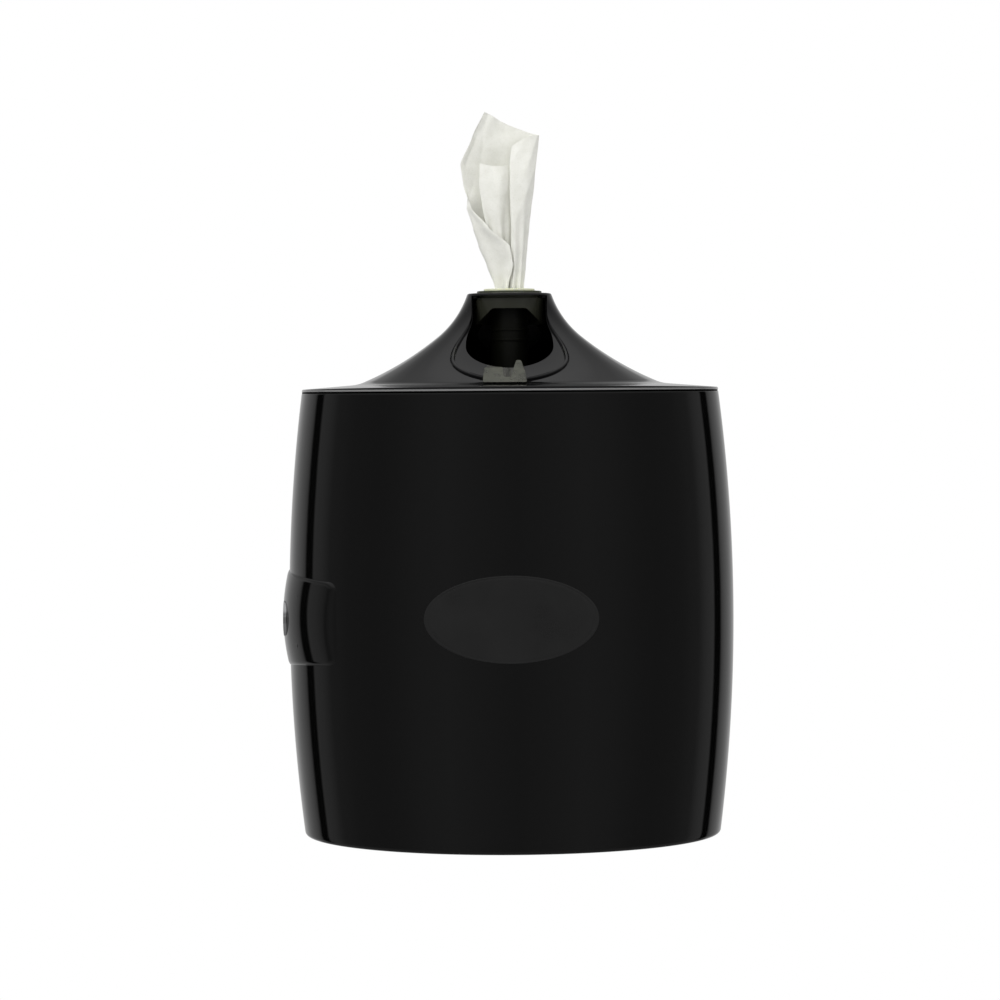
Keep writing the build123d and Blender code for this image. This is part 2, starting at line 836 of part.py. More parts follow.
# Nozzle: ring through the cone's top, shoulder under it, and a skirt cut to an arch in front
with BuildPart() as nozzle_body:
    with BuildSketch(nozzle_plane):
        Polygon(
            (tube_radius + tube_fit, cap_under - nozzle_web + nozzle_rise - sleeve_drop),
            (tube_radius + tube_fit + sleeve_wall, cap_under - nozzle_web + nozzle_rise - sleeve_drop),
            (tube_radius + tube_fit + sleeve_wall, cap_under - nozzle_web + nozzle_rise),
            (shoulder_radius - skirt_wall, cap_under - nozzle_web + nozzle_rise),
            (shoulder_radius - skirt_wall, cone_height - skirt_drop),
            (shoulder_radius, cone_height - skirt_drop),
            (shoulder_radius, cap_under),
            (nozzle_radius, cap_under),
            (nozzle_radius, nozzle_top),
            (membrane_radius + tube_fit, nozzle_top),
            (membrane_radius + tube_fit, membrane_under),
            (tube_radius + tube_fit, membrane_under),
            align=None,
        )
    revolve(axis=nozzle_axis)
    with BuildSketch(nozzle_plane) as arch:
        with Locations((0, cone_height - skirt_drop)):
            Rectangle(2 * arch_half, 2 * arch_height)
        fillet(arch.vertices(), arch_rounding)
    extrude(amount=nozzle_depth, mode=Mode.SUBTRACT)
nozzle_body.part.label = "nozzle_body"

# Membrane: soft disc in the nozzle's recess, with the hole that the wipe is drawn through
with BuildPart() as nozzle_membrane:
    with BuildSketch(nozzle_plane):
        with Locations((membrane_hole_radius, membrane_under)):
            Rectangle(membrane_radius - membrane_hole_radius, membrane_thickness, align=Align.MIN)
    revolve(axis=nozzle_axis)
    chamfer(nozzle_membrane.edges().group_by(Axis.Z)[-1], membrane_chamfer)
nozzle_membrane.part.label = "nozzle_membrane"

# Guide tube with two rings and a bell mouth over the roll
with BuildPart() as chute_tube:
    with BuildSketch(nozzle_plane):
        with BuildLine():
            bell = TangentArc(
                (tube_radius, -tube_bell_start),
                (tube_bell_radius, -tube_low),
                tangent=(0, -1),
                mode=Mode.PRIVATE,
            )
            outside = [Vector(tube_radius, membrane_under), *steps_along(bell, tube_bell_bands)]
            inside = [point - Vector(tube_wall, 0) for point in outside]
            Polyline(*outside, *reversed(inside), close=True)
        make_face()
        for ring_height in tube_ring_heights:
            with Locations((tube_radius - tube_wall / 2, ring_height)):
                Rectangle(
                    tube_wall / 2 + tube_ring_rise, tube_ring_height, align=(Align.MIN, Align.CENTER)
                )
    revolve(axis=nozzle_axis)
chute_tube.part.label = "chute_tube"

# Outline of the window's clip from the front, and of the hook behind it
with BuildPart() as clip_outline:
    with BuildSketch(nozzle_plane) as clip_front:
        Polygon(
            (clip_left, clip_low),
            (clip_right, clip_low),
            (clip_right, clip_fin_top),
            (clip_fin_left, clip_fin_top),
            (clip_fin_left, clip_bridge_top),
            (clip_block_right, clip_bridge_top),
            (clip_block_right, clip_block_top),
            (clip_left, clip_block_top),
            align=None,
        )
        fillet(clip_front.vertices().group_by(Axis.Y)[-1], clip_rounding)
    extrude(amount=nozzle_depth)
    add(window_outside, mode=Mode.INTERSECT)

with BuildPart() as clip_hook_outline:
    with BuildSketch(nozzle_plane):
        Polygon(
            (clip_left + clip_hook_inset, clip_low),
            (clip_block_right - clip_rounding, clip_low),
            (clip_block_right - clip_rounding, clip_hook_top),
            (clip_left + clip_hook_inset, clip_hook_top),
            align=None,
        )
    extrude(amount=nozzle_depth)
    add(window_opening, mode=Mode.INTERSECT)

# Clip: clear plate on the window's sunk step, hooked over the sill of the opening
with BuildPart() as window_clip:
    add(cone_skin(window_step - clip_thickness, window_step, clip_outline.part))
    add(cone_skin(window_step - hair, hood_wall + clip_hook, clip_hook_outline.part))
window_clip.part.label = "window_clip"

# Shelf: round tray on the housing's posts, reaching forward inside the cover
with BuildPart() as roll_shelf:
    with BuildSketch(Plane.XY.offset(shelf_bottom)):
        with Locations((0, -nozzle_depth)):
            Circle(shelf_radius)
    extrude(amount=shelf_plate + shelf_rim)
    with BuildSketch(Plane.XY.offset(shelf_top)):
        with Locations((0, -nozzle_depth)):
            Circle(shelf_radius - shelf_rim_wall)
    extrude(amount=shelf_rim, mode=Mode.SUBTRACT)
    with BuildSketch(Plane.XY.offset(shelf_bottom)):
        with Locations((0, -nozzle_depth)):
            with GridLocations(2 * shelf_rib_spacing, 0, 2, 1):
                Rectangle(shelf_rib_thickness, 2 * (shelf_radius - shelf_rib_spacing / 4))
    extrude(amount=-shelf_rib_height)
    with BuildSketch(Plane.XY.offset(shelf_bottom)):
        with Locations((0, -nozzle_depth)):
            Circle(shelf_hole_radius)
    extrude(amount=shelf_plate, mode=Mode.SUBTRACT)
    with BuildSketch(Plane.XY.offset(shelf_bottom)):
        with Locations(*plan_points(shelf_post_x, shelf_post_depths)):
            Circle(screw_radius + screw_hole_clearance)
    extrude(amount=shelf_plate, mode=Mode.SUBTRACT)
    with BuildSketch(Plane.XY.offset(shelf_top)):
        with Locations(*plan_points(shelf_post_x, shelf_post_depths)):
            Circle(screw_head_radius + screw_hole_clearance)
    extrude(amount=-shelf_counterbore, mode=Mode.SUBTRACT)
roll_shelf.part.label = "roll_shelf"

# Roll of wipes, open at its core, standing on the shelf
with BuildPart() as wipes_roll:
    with BuildSketch(Plane.XY.offset(shelf_top)):
        with Locations((0, -nozzle_depth)):
            Circle(roll_radius)
            Circle(roll_core_radius, mode=Mode.SUBTRACT)
    extrude(amount=roll_height)
    chamfer(wipes_roll.edges().filter_by(GeomType.CIRCLE), roll_edge_chamfer)
wipes_roll.part.label = "wipes_roll"

# Screws
with BuildPart() as hood_screws:
    with Locations(Plane(origin=(0, 0, ledge_top - hood_ledge), x_dir=(1, 0, 0), z_dir=(0, 0, -1))):
        with Locations(*[(x, -y) for x, y in plan_points(hood_screw_x, hood_screw_depths)]):
            add(pan_screw(hood_screw_length))
hood_screws.part.label = "hood_screws"

with BuildPart() as shelf_screws:
    with Locations(Plane.XY.offset(shelf_top - shelf_counterbore)):
        with Locations(*plan_points(shelf_post_x, shelf_post_depths)):
            add(pan_screw(shelf_screw_length - shelf_counterbore))
shelf_screws.part.label = "shelf_screws"

with BuildPart() as strike_screws:
    with Locations(
        Plane(
            origin=(strike_sheet - strike_face, lock_y - strike_start + strike_screw_setback, lock_height),
            x_dir=(0, 1, 0),
            z_dir=(1, 0, 0),
        )
    ):
        with GridLocations(0, strike_screw_spacing, 1, 2):
            add(pan_screw(strike_screw_length))
strike_screws.part.label = "strike_screws"

# Bare oval label that follows the front of the cover
with BuildPart() as label_oval:
    add(body_form(body_levels(-body_top, body_top), -label_thickness))
    with BuildSketch(Plane.XZ.offset(cover_back)):
        with Locations((0, label_height)):
            Ellipse(label_half_width, label_half_height)
    extrude(amount=far, mode=Mode.INTERSECT)
    add(body_solid, mode=Mode.SUBTRACT)
label_oval.part.label = "label_oval"

# Wipe that stands in the nozzle: a folded sheet with two ridges in front and two soft ones behind
with BuildPart() as pulled_wipe:
    for height, left, right, depth in wipe_sections:
        with BuildSketch(Plane((0, -nozzle_depth, wipe_base + wipe_height * height))):
            Polygon(
                *[
                    (wipe_reach * (share * (left + right) - left), wipe_depth * fold * depth)
                    for share, fold in wipe_folds
                ],
                align=None,
            )
    loft(ruled=True)
    with BuildSketch(Plane.XZ.offset(nozzle_depth)):
        with Locations((0, wipe_base)):
            Polygon(
                (-wipe_reach, -wipe_height),
                *[(wipe_reach * across, wipe_height * up) for across, up in wipe_outline],
                (2 * wipe_reach, -wipe_height),
                align=None,
            )
    extrude(amount=nozzle_depth, both=True, mode=Mode.INTERSECT)
pulled_wipe.part.label = "pulled_wipe"

# Strand of wipe that runs up through the roll's core and the tube
with BuildPart() as wipe_strand:
    with BuildSketch(Plane.XY.offset(strand_low)):
        with Locations((0, -nozzle_depth)):
            Circle(strand_radius)
    extrude(amount=wipe_base + wipe_height * wipe_sections[0][0] - strand_low)
wipe_strand.part.label = "wipe_strand"

os.makedirs("parts", exist_ok=True)
for builder in (
    back_housing,
    hood,
    roll_shelf,
    wipes_roll,
    nozzle_body,
    nozzle_membrane,
    chute_tube,
    window_clip,
    strike_plate,
    strike_screws,
    hood_screws,
    shelf_screws,
    front_cover,
    lock_boss,
    lock_barrel,
    lock_nut,
    label_oval,
    lock_plug,
    lock_cam,
    cam_screw,
    pulled_wipe,
    wipe_strand,
):
    export_step(builder.part, f"parts/{builder.part.label}.step")
for piece in (hinge_pin_top, hinge_pin_bottom, hinge_bush_top, hinge_bush_bottom):
    export_step(piece, f"parts/{piece.label}.step")
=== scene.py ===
from math import asin, atan2, cos, hypot, pi, radians, sin, sqrt, tan

import bmesh
import bpy
import numpy as np
from mathutils import Matrix, Vector, noise


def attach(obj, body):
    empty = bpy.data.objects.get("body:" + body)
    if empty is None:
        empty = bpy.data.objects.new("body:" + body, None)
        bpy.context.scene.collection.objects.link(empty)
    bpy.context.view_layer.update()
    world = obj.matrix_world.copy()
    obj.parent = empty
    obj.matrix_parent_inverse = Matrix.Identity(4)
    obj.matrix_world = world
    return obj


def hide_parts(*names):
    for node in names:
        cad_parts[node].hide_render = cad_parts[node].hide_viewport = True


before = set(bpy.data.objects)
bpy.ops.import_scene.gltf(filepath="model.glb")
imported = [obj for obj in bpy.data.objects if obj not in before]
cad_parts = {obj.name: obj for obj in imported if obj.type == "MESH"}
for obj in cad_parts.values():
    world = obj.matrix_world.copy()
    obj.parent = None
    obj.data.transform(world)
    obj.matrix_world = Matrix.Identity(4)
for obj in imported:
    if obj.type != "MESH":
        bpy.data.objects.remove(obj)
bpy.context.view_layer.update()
mm = 0.001  # every length below is in millimetres until a mesh is made

body = {"halfWidth": 140, "sideNarrowing": 9, "depth": 122, "frontShallowing": 6,
        "housingDepth": 116, "top": 139.5, "cornerRounding": 16, "nozzleDepth": 118, "lockDepth": 132.6,
        "lockHeight": -2}
screwSpots = {"hood": [(side * 119, -depth) for side in (-1, 1) for depth in (20, 58)],
              "shelf": [(side * 60, -depth) for side in (-1, 1) for depth in (45, 100)]}

# Where turned parts stand, and flat outlines that are pushed through the nozzle from the front
nozzlePlace = Matrix.Translation((0, -body["nozzleDepth"], body["top"]))
nozzleFront = nozzlePlace @ Matrix(((1, 0, 0, 0), (0, 0, -1, 0), (0, 1, 0, 0), (0, 0, 0, 1)))
lockPlace = (Matrix.Translation((0, -body["lockDepth"], body["lockHeight"]))
             @ Matrix(((0, 0, -1, 0), (-1, 0, 0, 0), (0, 1, 0, 0), (0, 0, 0, 1))))


class Flow:  # one socket, so that shader maths reads as sums
    def __init__(self, bench, socket):
        self.bench, self.socket = bench, socket

    def maths(operation, reflected=False):  # reflected where the socket stands on the right
        def reckon(self, other):
            first, second = (other, self) if reflected else (self, other)
            return self.bench.node("ShaderNodeMath", {"operation": operation}, {0: first, 1: second})
        return reckon

    __add__, __radd__ = maths("ADD"), maths("ADD", True)
    __sub__, __rsub__ = maths("SUBTRACT"), maths("SUBTRACT", True)
    __mul__, __rmul__ = maths("MULTIPLY"), maths("MULTIPLY", True)
    __truediv__, __rtruediv__ = maths("DIVIDE"), maths("DIVIDE", True)


class Bench:  # one node tree, emptied and built node by node
    def __init__(self, tree):
        self.tree = tree
        tree.nodes.clear()

    def node(self, kind, settings, sockets, output=0):
        made = self.tree.nodes.new(kind)
        for name, value in settings.items():
            if name == "stops":
                ramp = made.color_ramp
                while len(ramp.elements) < len(value):
                    ramp.elements.new(0.5)
                for element, (position, shade) in zip(ramp.elements, value):
                    element.position = position
                    element.color = (shade, shade, shade, 1)
            else:
                setattr(made, name, value)
        for name, value in sockets.items():
            if isinstance(value, Flow):
                self.tree.links.new(value.socket, made.inputs[name])
            else:
                made.inputs[name].default_value = value
        return Flow(self, made.outputs[output]) if len(made.outputs) else None

    def place(self):  # where a point is on the object at rest, in metres
        return self.node("ShaderNodeTexCoord", {}, {}, 3)

    def axis(self, vector, index):
        return self.node("ShaderNodeSeparateXYZ", {}, {0: vector}, index)

    def grain(self, scale, detail=3, roughness=0.5, stretch=(1, 1, 1)):
        spread = self.node("ShaderNodeVectorMath", {"operation": "MULTIPLY"}, {0: self.place(), 1: stretch})
        return self.node("ShaderNodeTexNoise", {}, {"Vector": spread, "Scale": scale, "Detail": detail,
                                                    "Roughness": roughness})

    def ramp(self, factor, *stops):
        return self.node("ShaderNodeValToRGB", {"stops": stops}, {"Fac": factor})

    def mix(self, factor, first, second):
        return self.node("ShaderNodeMix", {"data_type": "RGBA"}, {0: factor, 6: first, 7: second}, 2)

    def bump(self, height, depth, strength=1.0, edge=0.35):
        soft = self.node("ShaderNodeBevel", {"samples": 4}, {"Radius": edge * mm})
        return self.node("ShaderNodeBump", {}, {"Height": height, "Distance": depth * mm,
                                                "Strength": strength, "Normal": soft})


def makeFinish(name, constants, skin, *values):
    material = bpy.data.materials.new(name)
    material.use_nodes = True
    bench = Bench(material.node_tree)
    shader = bench.node("ShaderNodeBsdfPrincipled", {}, {**constants, **skin(bench, *values)})
    bench.node("ShaderNodeOutputMaterial", {}, {"Surface": shader})
    return material


def surface(bench, mask, shade, other, rough, normal):
    return {"Base Color": bench.mix(mask, (*shade, 1), (*other, 1)), "Roughness": rough, "Normal": normal}


# Glossy moulded plastic: nearly black, a slow orange-peel swell, faint handling haze and dust
def glossSkin(bench, shade, haze, swell):
    smear = bench.ramp(bench.grain(14, 4, 0.6, (1, 1, 0.35)), (0.45, 0.0), (0.75, 1.0))
    dust = bench.ramp(bench.grain(900, 2, 0.5), (0.68, 0.0), (0.78, 1.0))
    lift = [min(1.0, part * 1.9 + 0.004) for part in shade]
    return surface(bench, dust * 0.25, shade, lift, haze + smear * 0.02 + dust * 0.05,
                   bench.bump(bench.grain(110, 1, 0.4), swell))


# The hood's gloss, with a painted highlight: its cut lower edge is painted paler than the skin in place of the
# brim's bright reflection
def hoodSkin(bench, shade, haze, swell):
    sockets = glossSkin(bench, shade, haze, swell)
    height = bench.axis(bench.place(), 2) / mm - body["top"]
    # painted highlight: a pale grey band on the lowest 1.5 mm of the hood, its brim edge
    paintedHighlight = bench.ramp(height / 2, (0.05, 0.0), (0.2, 1.0), (0.55, 1.0), (0.75, 0.0))
    sockets["Base Color"] = bench.mix(paintedHighlight, sockets["Base Color"], (0.2, 0.2, 0.2, 1))
    return sockets


# Fine-textured moulded plastic, slightly paler where it is rubbed
def satinSkin(bench, shade, rough, depth, grainSize=0.7):
    pits = bench.grain(1000 / grainSize, 2, 0.6)
    cloud = bench.ramp(bench.grain(22, 4, 0.6), (0.35, 0.0), (0.75, 1.0))
    lift = [part * 1.35 + 0.002 for part in shade]
    return surface(bench, cloud * 0.7, shade, lift, rough + cloud * 0.08 - pits * 0.06,
                   bench.bump(pits, depth))


# Plated or rolled metal with fine drawn lines along one direction
def metalSkin(bench, shade, rough, stretch, worn=0.25):
    lines = bench.grain(700, 3, 0.6, stretch)
    spots = bench.ramp(bench.grain(160, 4, 0.65), (0.45, 0.0), (0.8, 1.0))
    dull = [part * 0.72 for part in shade]
    return surface(bench, spots * worn, shade, dull, rough + lines * 0.12 + spots * 0.1,
                   bench.bump(lines, 0.01, 0.5, 0.2))


# Smoky clear plastic with painted shade: darker lower down, where it stands in the dark inside, and paler
# towards its top, with faint flow marks
def smokySkin(bench, shade, pale, rough, low, high):
    height = bench.axis(bench.place(), 2)
    # painted shade by height: the darker shade low down, the paler one towards the top
    depth = bench.ramp((height - low * mm) / ((high - low) * mm), (0.0, 0.0), (1.0, 1.0))
    flow = bench.grain(60, 3, 0.5, (1, 1, 0.3))
    return surface(bench, depth * (0.8 + flow * 0.4), shade, pale, rough + flow * 0.08,
                   bench.bump(flow, 0.05))


# Frosted clear plastic: milky patches over a clear body
def frostSkin(bench, shade, milk, rough):
    patch = bench.ramp(bench.grain(120, 5, 0.6), (0.38, 0.0), (0.66, 1.0))
    return surface(bench, patch, shade, milk, rough + patch * 0.2, bench.bump(patch, 0.08))


# Spun fabric: crossed fibres, small pinholes in rows and soft clouds where the fibres lie thicker
def fabricSkin(bench, shade, deep, emboss):
    upright, across = bench.grain(1500, 4, 0.7, (1, 1, 0.25)), bench.grain(1500, 4, 0.7, (0.3, 0.3, 1))
    fibres = upright * 0.5 + across * 0.5
    cloud = bench.ramp(bench.grain(170, 6, 0.7), (0.35, 0.0), (0.75, 1.0))
    dots = bench.node("ShaderNodeTexVoronoi", {"feature": "F1"}, {"Vector": bench.place(), "Scale": 620.0})
    pins = bench.ramp(dots, (0.1, 1.0), (0.3, 0.0))
    return surface(bench, cloud * 0.6 + pins * 0.25, shade, deep, 0.82 + cloud * 0.1,
                   bench.bump(fibres - pins * 0.6, emboss, 0.7, 0.05))


# Each finish: constant sockets, then its skin and what the skin takes
recipes = {
    "coverGloss": ({"IOR": 1.5}, glossSkin, (0.0022, 0.0022, 0.0022), 0.05, 0.012),
    "hoodGloss": ({"IOR": 1.5}, hoodSkin, (0.0024, 0.0024, 0.0027), 0.07, 0.014),
    "housingSatin": ({"IOR": 1.5}, satinSkin, (0.008, 0.008, 0.0083), 0.42, 0.05),
    "shelfSatin": ({"IOR": 1.5}, satinSkin, (0.018, 0.018, 0.019), 0.48, 0.05),
    # the smoky nozzle and tube take painted shade: darker below the first of their two heights, paler above
    # the second
    "nozzleSmoke": ({"IOR": 1.5}, smokySkin, (0.027, 0.028, 0.02), (0.05, 0.055, 0.036), 0.2, 197, 200),
    "tubeSmoke": ({"IOR": 1.5, "Specular IOR Level": 0.3},
                  smokySkin, (0.003, 0.0031, 0.002), (0.0045, 0.0048, 0.003), 0.45, 120, 200),
    "membraneSoft": ({"IOR": 1.42, "Transmission Weight": 0.25, "Subsurface Weight": 0.3,
                      "Subsurface Radius": (0.004, 0.004, 0.002)}, satinSkin, (0.78, 0.8, 0.6), 0.35, 0.03),
    "clipFrost": ({"IOR": 1.49, "Transmission Weight": 0.45},
                  frostSkin, (0.045, 0.047, 0.035), (0.12, 0.124, 0.095), 0.25),
    "zincSheet": ({"Metallic": 1.0}, metalSkin, (0.6, 0.6, 0.58), 0.3, (1, 1, 0.05)),
    "screwSteel": ({"Metallic": 1.0}, metalSkin, (0.55, 0.56, 0.57), 0.22, (1, 1, 1)),
    "lockChrome": ({"Metallic": 1.0}, metalSkin, (0.72, 0.72, 0.73), 0.12, (0.05, 1, 1), 0.12),
    "bushNylon": ({"IOR": 1.53}, satinSkin, (0.62, 0.61, 0.56), 0.38, 0.02),
    "labelFilm": ({"IOR": 1.45}, satinSkin, (0.0105, 0.0105, 0.0105), 0.3, 0.012, 0.5),
    "wipeFabric": ({"Sheen Weight": 0.1}, fabricSkin, (0.89, 0.89, 0.835), (0.75, 0.75, 0.675), 0.12),
    "rollFabric": ({"Sheen Weight": 0.1}, fabricSkin, (0.84, 0.84, 0.81), (0.74, 0.74, 0.70), 0.12),
}
finishes = {name: makeFinish(name, *recipe) for name, recipe in recipes.items()}
print("finishes ready")


# Mesh kit
def gridFaces(rows, columns, wrapRows=False, wrapColumns=False, start=0):
    faces = []
    for row in range(rows if wrapRows else rows - 1):
        for column in range(columns if wrapColumns else columns - 1):
            below, beside = (row + 1) % rows, (column + 1) % columns
            faces.append([start + row * columns + column, start + row * columns + beside,
                          start + below * columns + beside, start + below * columns + column])
    return faces


def slabFaces(rows, columns, pointed=False):  # two equal grids, one after the other, closed round their edges
    rim = list(range(columns)) + [row * columns + columns - 1 for row in range(1, rows)]
    if not pointed:  # a pointed grid has its whole last row in one place
        rim += [(rows - 1) * columns + column for column in range(columns - 2, -1, -1)]
    rim += [row * columns for row in range(rows - 2, 0, -1)]
    return (gridFaces(rows, columns) + gridFaces(rows, columns, start=rows * columns)
            + [[corner, following, following + rows * columns, corner + rows * columns]
               for corner, following in zip(rim, rim[1:] + rim[:1])])


def makePiece(name, points, faces, closed=True):
    mesh = bpy.data.meshes.new(name)
    mesh.from_pydata([Vector(point) * mm for point in points], [], faces)
    shape = bmesh.new()
    shape.from_mesh(mesh)
    bmesh.ops.remove_doubles(shape, verts=shape.verts, dist=2e-6)
    bmesh.ops.dissolve_degenerate(shape, edges=shape.edges, dist=1e-6)
    if closed:
        bmesh.ops.recalc_face_normals(shape, faces=shape.faces)
    shape.to_mesh(mesh)
    shape.free()
    piece = bpy.data.objects.new(name, mesh)
    bpy.context.scene.collection.objects.link(piece)
    return piece


def settle(piece):  # the piece's modifiers become its mesh
    bpy.context.view_layer.update()
    shape = bpy.data.meshes.new_from_object(piece.evaluated_get(bpy.context.evaluated_depsgraph_get()))
    piece.modifiers.clear()
    piece.data = shape
    return piece


def softenEdges(piece, width, angle=50, steps=2):
    bevel = piece.modifiers.new("softEdges", "BEVEL")
    bevel.limit_method = "ANGLE"
    bevel.angle_limit = radians(angle)
    bevel.width = width * mm
    bevel.segments = steps
    return settle(piece)


def combine(piece, others, operation):  # solid sum or difference, after which the others are gone
    for other in others:
        tool = piece.modifiers.new("combine", "BOOLEAN")
        tool.operation = operation
        tool.solver = "EXACT"
        tool.object = other
        settle(piece)
        bpy.data.objects.remove(other)


def joinPieces(piece, others):
    shape = bmesh.new()
    for part in [piece, *others]:
        shape.from_mesh(part.data)
    shape.to_mesh(piece.data)
    shape.free()
    for other in others:
        bpy.data.objects.remove(other)


def dress(piece, finish, ridesOn, nodes, sharp=35):
    piece.data.materials.clear()
    piece.data.materials.append(finishes[finish])
    piece.data.polygons.foreach_set("material_index", [0] * len(piece.data.polygons))
    piece.data.shade_smooth()
    piece.data.set_sharp_from_angle(angle=radians(sharp))
    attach(piece, ridesOn)
    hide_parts(*nodes)
    print("made", piece.name, len(piece.data.vertices), "points")


def roundCorners(corners, steps=4):  # corners are (across, up, radius of the rounding)
    outline = []
    for index, (across, up, radius) in enumerate(corners):
        here = Vector((across, up))
        back = (Vector(corners[index - 1][:2]) - here).normalized()
        ahead = (Vector(corners[(index + 1) % len(corners)][:2]) - here).normalized()
        if radius == 0:
            outline.append((across, up))
            continue
        half = back.angle(ahead) / 2
        centre = here + (back + ahead).normalized() * radius / sin(half)
        start, end = here + back * radius / tan(half) - centre, here + ahead * radius / tan(half) - centre
        turn = atan2(start.x * end.y - start.y * end.x, start.dot(end))
        for step in range(steps + 1):
            spun = Matrix.Rotation(turn * step / steps, 2) @ start
            outline.append((centre.x + spun.x, centre.y + spun.y))
    return outline


def lathe(name, outline, place, segments=96):
    points = []
    for step in range(segments):
        turn = 2 * pi * step / segments
        points += [place @ Vector((radius * cos(turn), radius * sin(turn), height))
                   for radius, height in outline]
    return makePiece(name, points, gridFaces(segments, len(outline), True, True))


def rod(name, radius, low, high, place, segments=64):
    return lathe(name, [(0, low), (radius, low), (radius, high), (0, high)], place, segments)


def prism(name, outline, low, high, place=Matrix.Identity(4)):
    count = len(outline)
    points = [place @ Vector((across, up, level)) for level in (low, high) for across, up in outline]
    faces = gridFaces(2, count, False, True) + [list(range(count))[::-1], list(range(count, 2 * count))]
    return makePiece(name, points, faces)


def arcDrop(height, sag):  # how far a barrel's arc has come in at a height
    radius = (body["top"] ** 2 + sag**2) / (2 * sag)
    return radius - sqrt(radius**2 - height**2)


def halfWidthAt(height):
    return body["halfWidth"] - arcDrop(height, body["sideNarrowing"])


def depthAt(height):
    return body["depth"] - arcDrop(height, body["frontShallowing"])


# Front cover: one moulded shell with a rounded lower edge, a thin rim, two hinge ears and the lock's pad
cover = {"wall": 2.8, "parting": 116.6, "top": 138.7, "lowerRound": 2.4, "innerRound": 1.5, "rimRound": 0.5,
         "floorShares": (0, 0.3, 0.55, 0.75, 0.9), "margin": 0.8, "turns": 132, "levels": 44, "softEdge": 0.3}
hinge = {"x": 125, "y": -96, "height": 121.5, "knuckle": 8, "ear": 14, "bush": 3.25, "reach": 12, "drill": 150,
         "hook": ((-4, 0), (-2.8, -2.8), (0, -4), (4.4, -4)), "softEdge": 0.5}
lock = {"bore": 9.6, "headRecess": 11.1, "seat": 140.6, "pad": 15, "padFrom": 131, "padTo": 150,
        "inside": 100, "outside": 160}
padKeep = {"rows": 7, "columns": 25, "top": 25, "step": 9, "from": 0.02, "span": 0.4, "layers": (0.5, 60)}


def shellPoint(share, inset, height, along):
    halfWidth, depth = halfWidthAt(height) - inset, depthAt(height) - inset
    start = asin((cover["parting"] - body["housingDepth"]) / depth)
    turn = start + (pi - 2 * start) * along
    edge = Vector((-halfWidth * cos(turn), -body["housingDepth"] - depth * sin(turn), height))
    return Vector((0, -cover["parting"], height)).lerp(edge, share)


def makeCover():
    wall, low, top = cover["wall"], -body["top"], cover["top"]
    lower, inner, rim = cover["lowerRound"], cover["innerRound"], cover["rimRound"]
    pairs = [((share, lower, low), (share, wall + inner, low + wall)) for share in cover["floorShares"]]
    for step in range(7):
        turn = radians(15 * step)
        pairs.append(((1, lower * (1 - sin(turn)), low + lower * (1 - cos(turn))),
                      (1, wall + inner * (1 - sin(turn)), low + wall + inner * (1 - cos(turn)))))
    start, end = low + wall + inner + cover["margin"], top - rim - cover["margin"]
    for step in range(cover["levels"] + 1):
        height = start + (end - start) * step / cover["levels"]
        pairs.append(((1, 0, height), (1, wall, height)))
    for step in range(5):
        turn = radians(22.5 * step)
        inset, height = rim * (1 - cos(turn)), top - rim * (1 - sin(turn))
        pairs.append(((1, inset, height), (1, wall - inset, height)))
    count, turns = len(pairs), cover["turns"]
    points = [shellPoint(*pair[side], step / turns) for step in range(turns + 1)
              for side in (0, 1) for pair in pairs]
    faces = []
    for here in range(0, turns * 2 * count, 2 * count):
        there = here + 2 * count
        for level in range(count - 1):
            faces += [[here + side + level, there + side + level, there + side + level + 1,
                       here + side + level + 1] for side in (0, count)]
        faces.append([here + count - 1, there + count - 1, there + 2 * count - 1, here + 2 * count - 1])
    for end in (0, turns * 2 * count):
        faces += [[end + level, end + level + 1, end + count + level + 1, end + count + level]
                  for level in range(count - 1)]
    shell = softenEdges(makePiece("frontCover", points, faces), cover["softEdge"])
    ears = []
    for side in (-1, 1):
        middle, knuckle = side * hinge["height"], hinge["knuckle"]
        outline = [(hinge["x"] + knuckle * cos(radians(turn)), hinge["y"] + knuckle * sin(radians(turn)))
                   for turn in range(0, 181, 9)]
        outline += [(hinge["x"] + across, up - cover["parting"] - hinge["reach"])
                    for across, up in hinge["hook"]]
        widest = halfWidthAt(middle) - 0.5
        outline = [(min(across, widest), up) for across, up in outline]
        ear = prism("ear", outline, middle - hinge["ear"] / 2, middle + hinge["ear"] / 2)
        ears.append(softenEdges(ear, hinge["softEdge"], 60))
    pad = rod("pad", lock["pad"], lock["padFrom"], lock["padTo"], lockPlace)
    rows, columns = padKeep["rows"], padKeep["columns"]
    inside = [shellPoint(1, layer, padKeep["top"] - padKeep["step"] * row,
                         padKeep["from"] + padKeep["span"] * column / (columns - 1))
              for layer in padKeep["layers"] for row in range(rows) for column in range(columns)]
    combine(pad, [makePiece("keep", inside, slabFaces(rows, columns))], "INTERSECT")
    combine(shell, [*ears, pad], "UNION")
    hingeLine = Matrix.Translation((hinge["x"], hinge["y"], 0))
    combine(shell, [rod("bore", lock["bore"], lock["inside"], lock["outside"], lockPlace),
                    rod("bushHole", hinge["bush"], -hinge["drill"], hinge["drill"], hingeLine)], "DIFFERENCE")
    dress(shell, "coverGloss", "cover", ["front_cover"])


makeCover()


# Lock boss: pillow on the cover's left side, its three free edges rolled down to the cover
boss = {"half": 30, "frontHalf": 25.5, "reach": 78, "corner": 5.5, "rise": 4.0, "edgeRise": 0.8,
        "roll": 2.4, "sunk": 0.6, "lift": -0.04, "rows": 48, "columns": 56,
        "peg": {"radius": 2, "from": 126, "to": 133, "along": 28, "off": 15}}


def bossHalf(along):
    half = boss["half"] + (boss["frontHalf"] - boss["half"]) * along / boss["reach"]
    over = along - boss["reach"] + boss["corner"]
    return half - (boss["corner"] - sqrt(boss["corner"] ** 2 - over**2)) if over > 0 else half


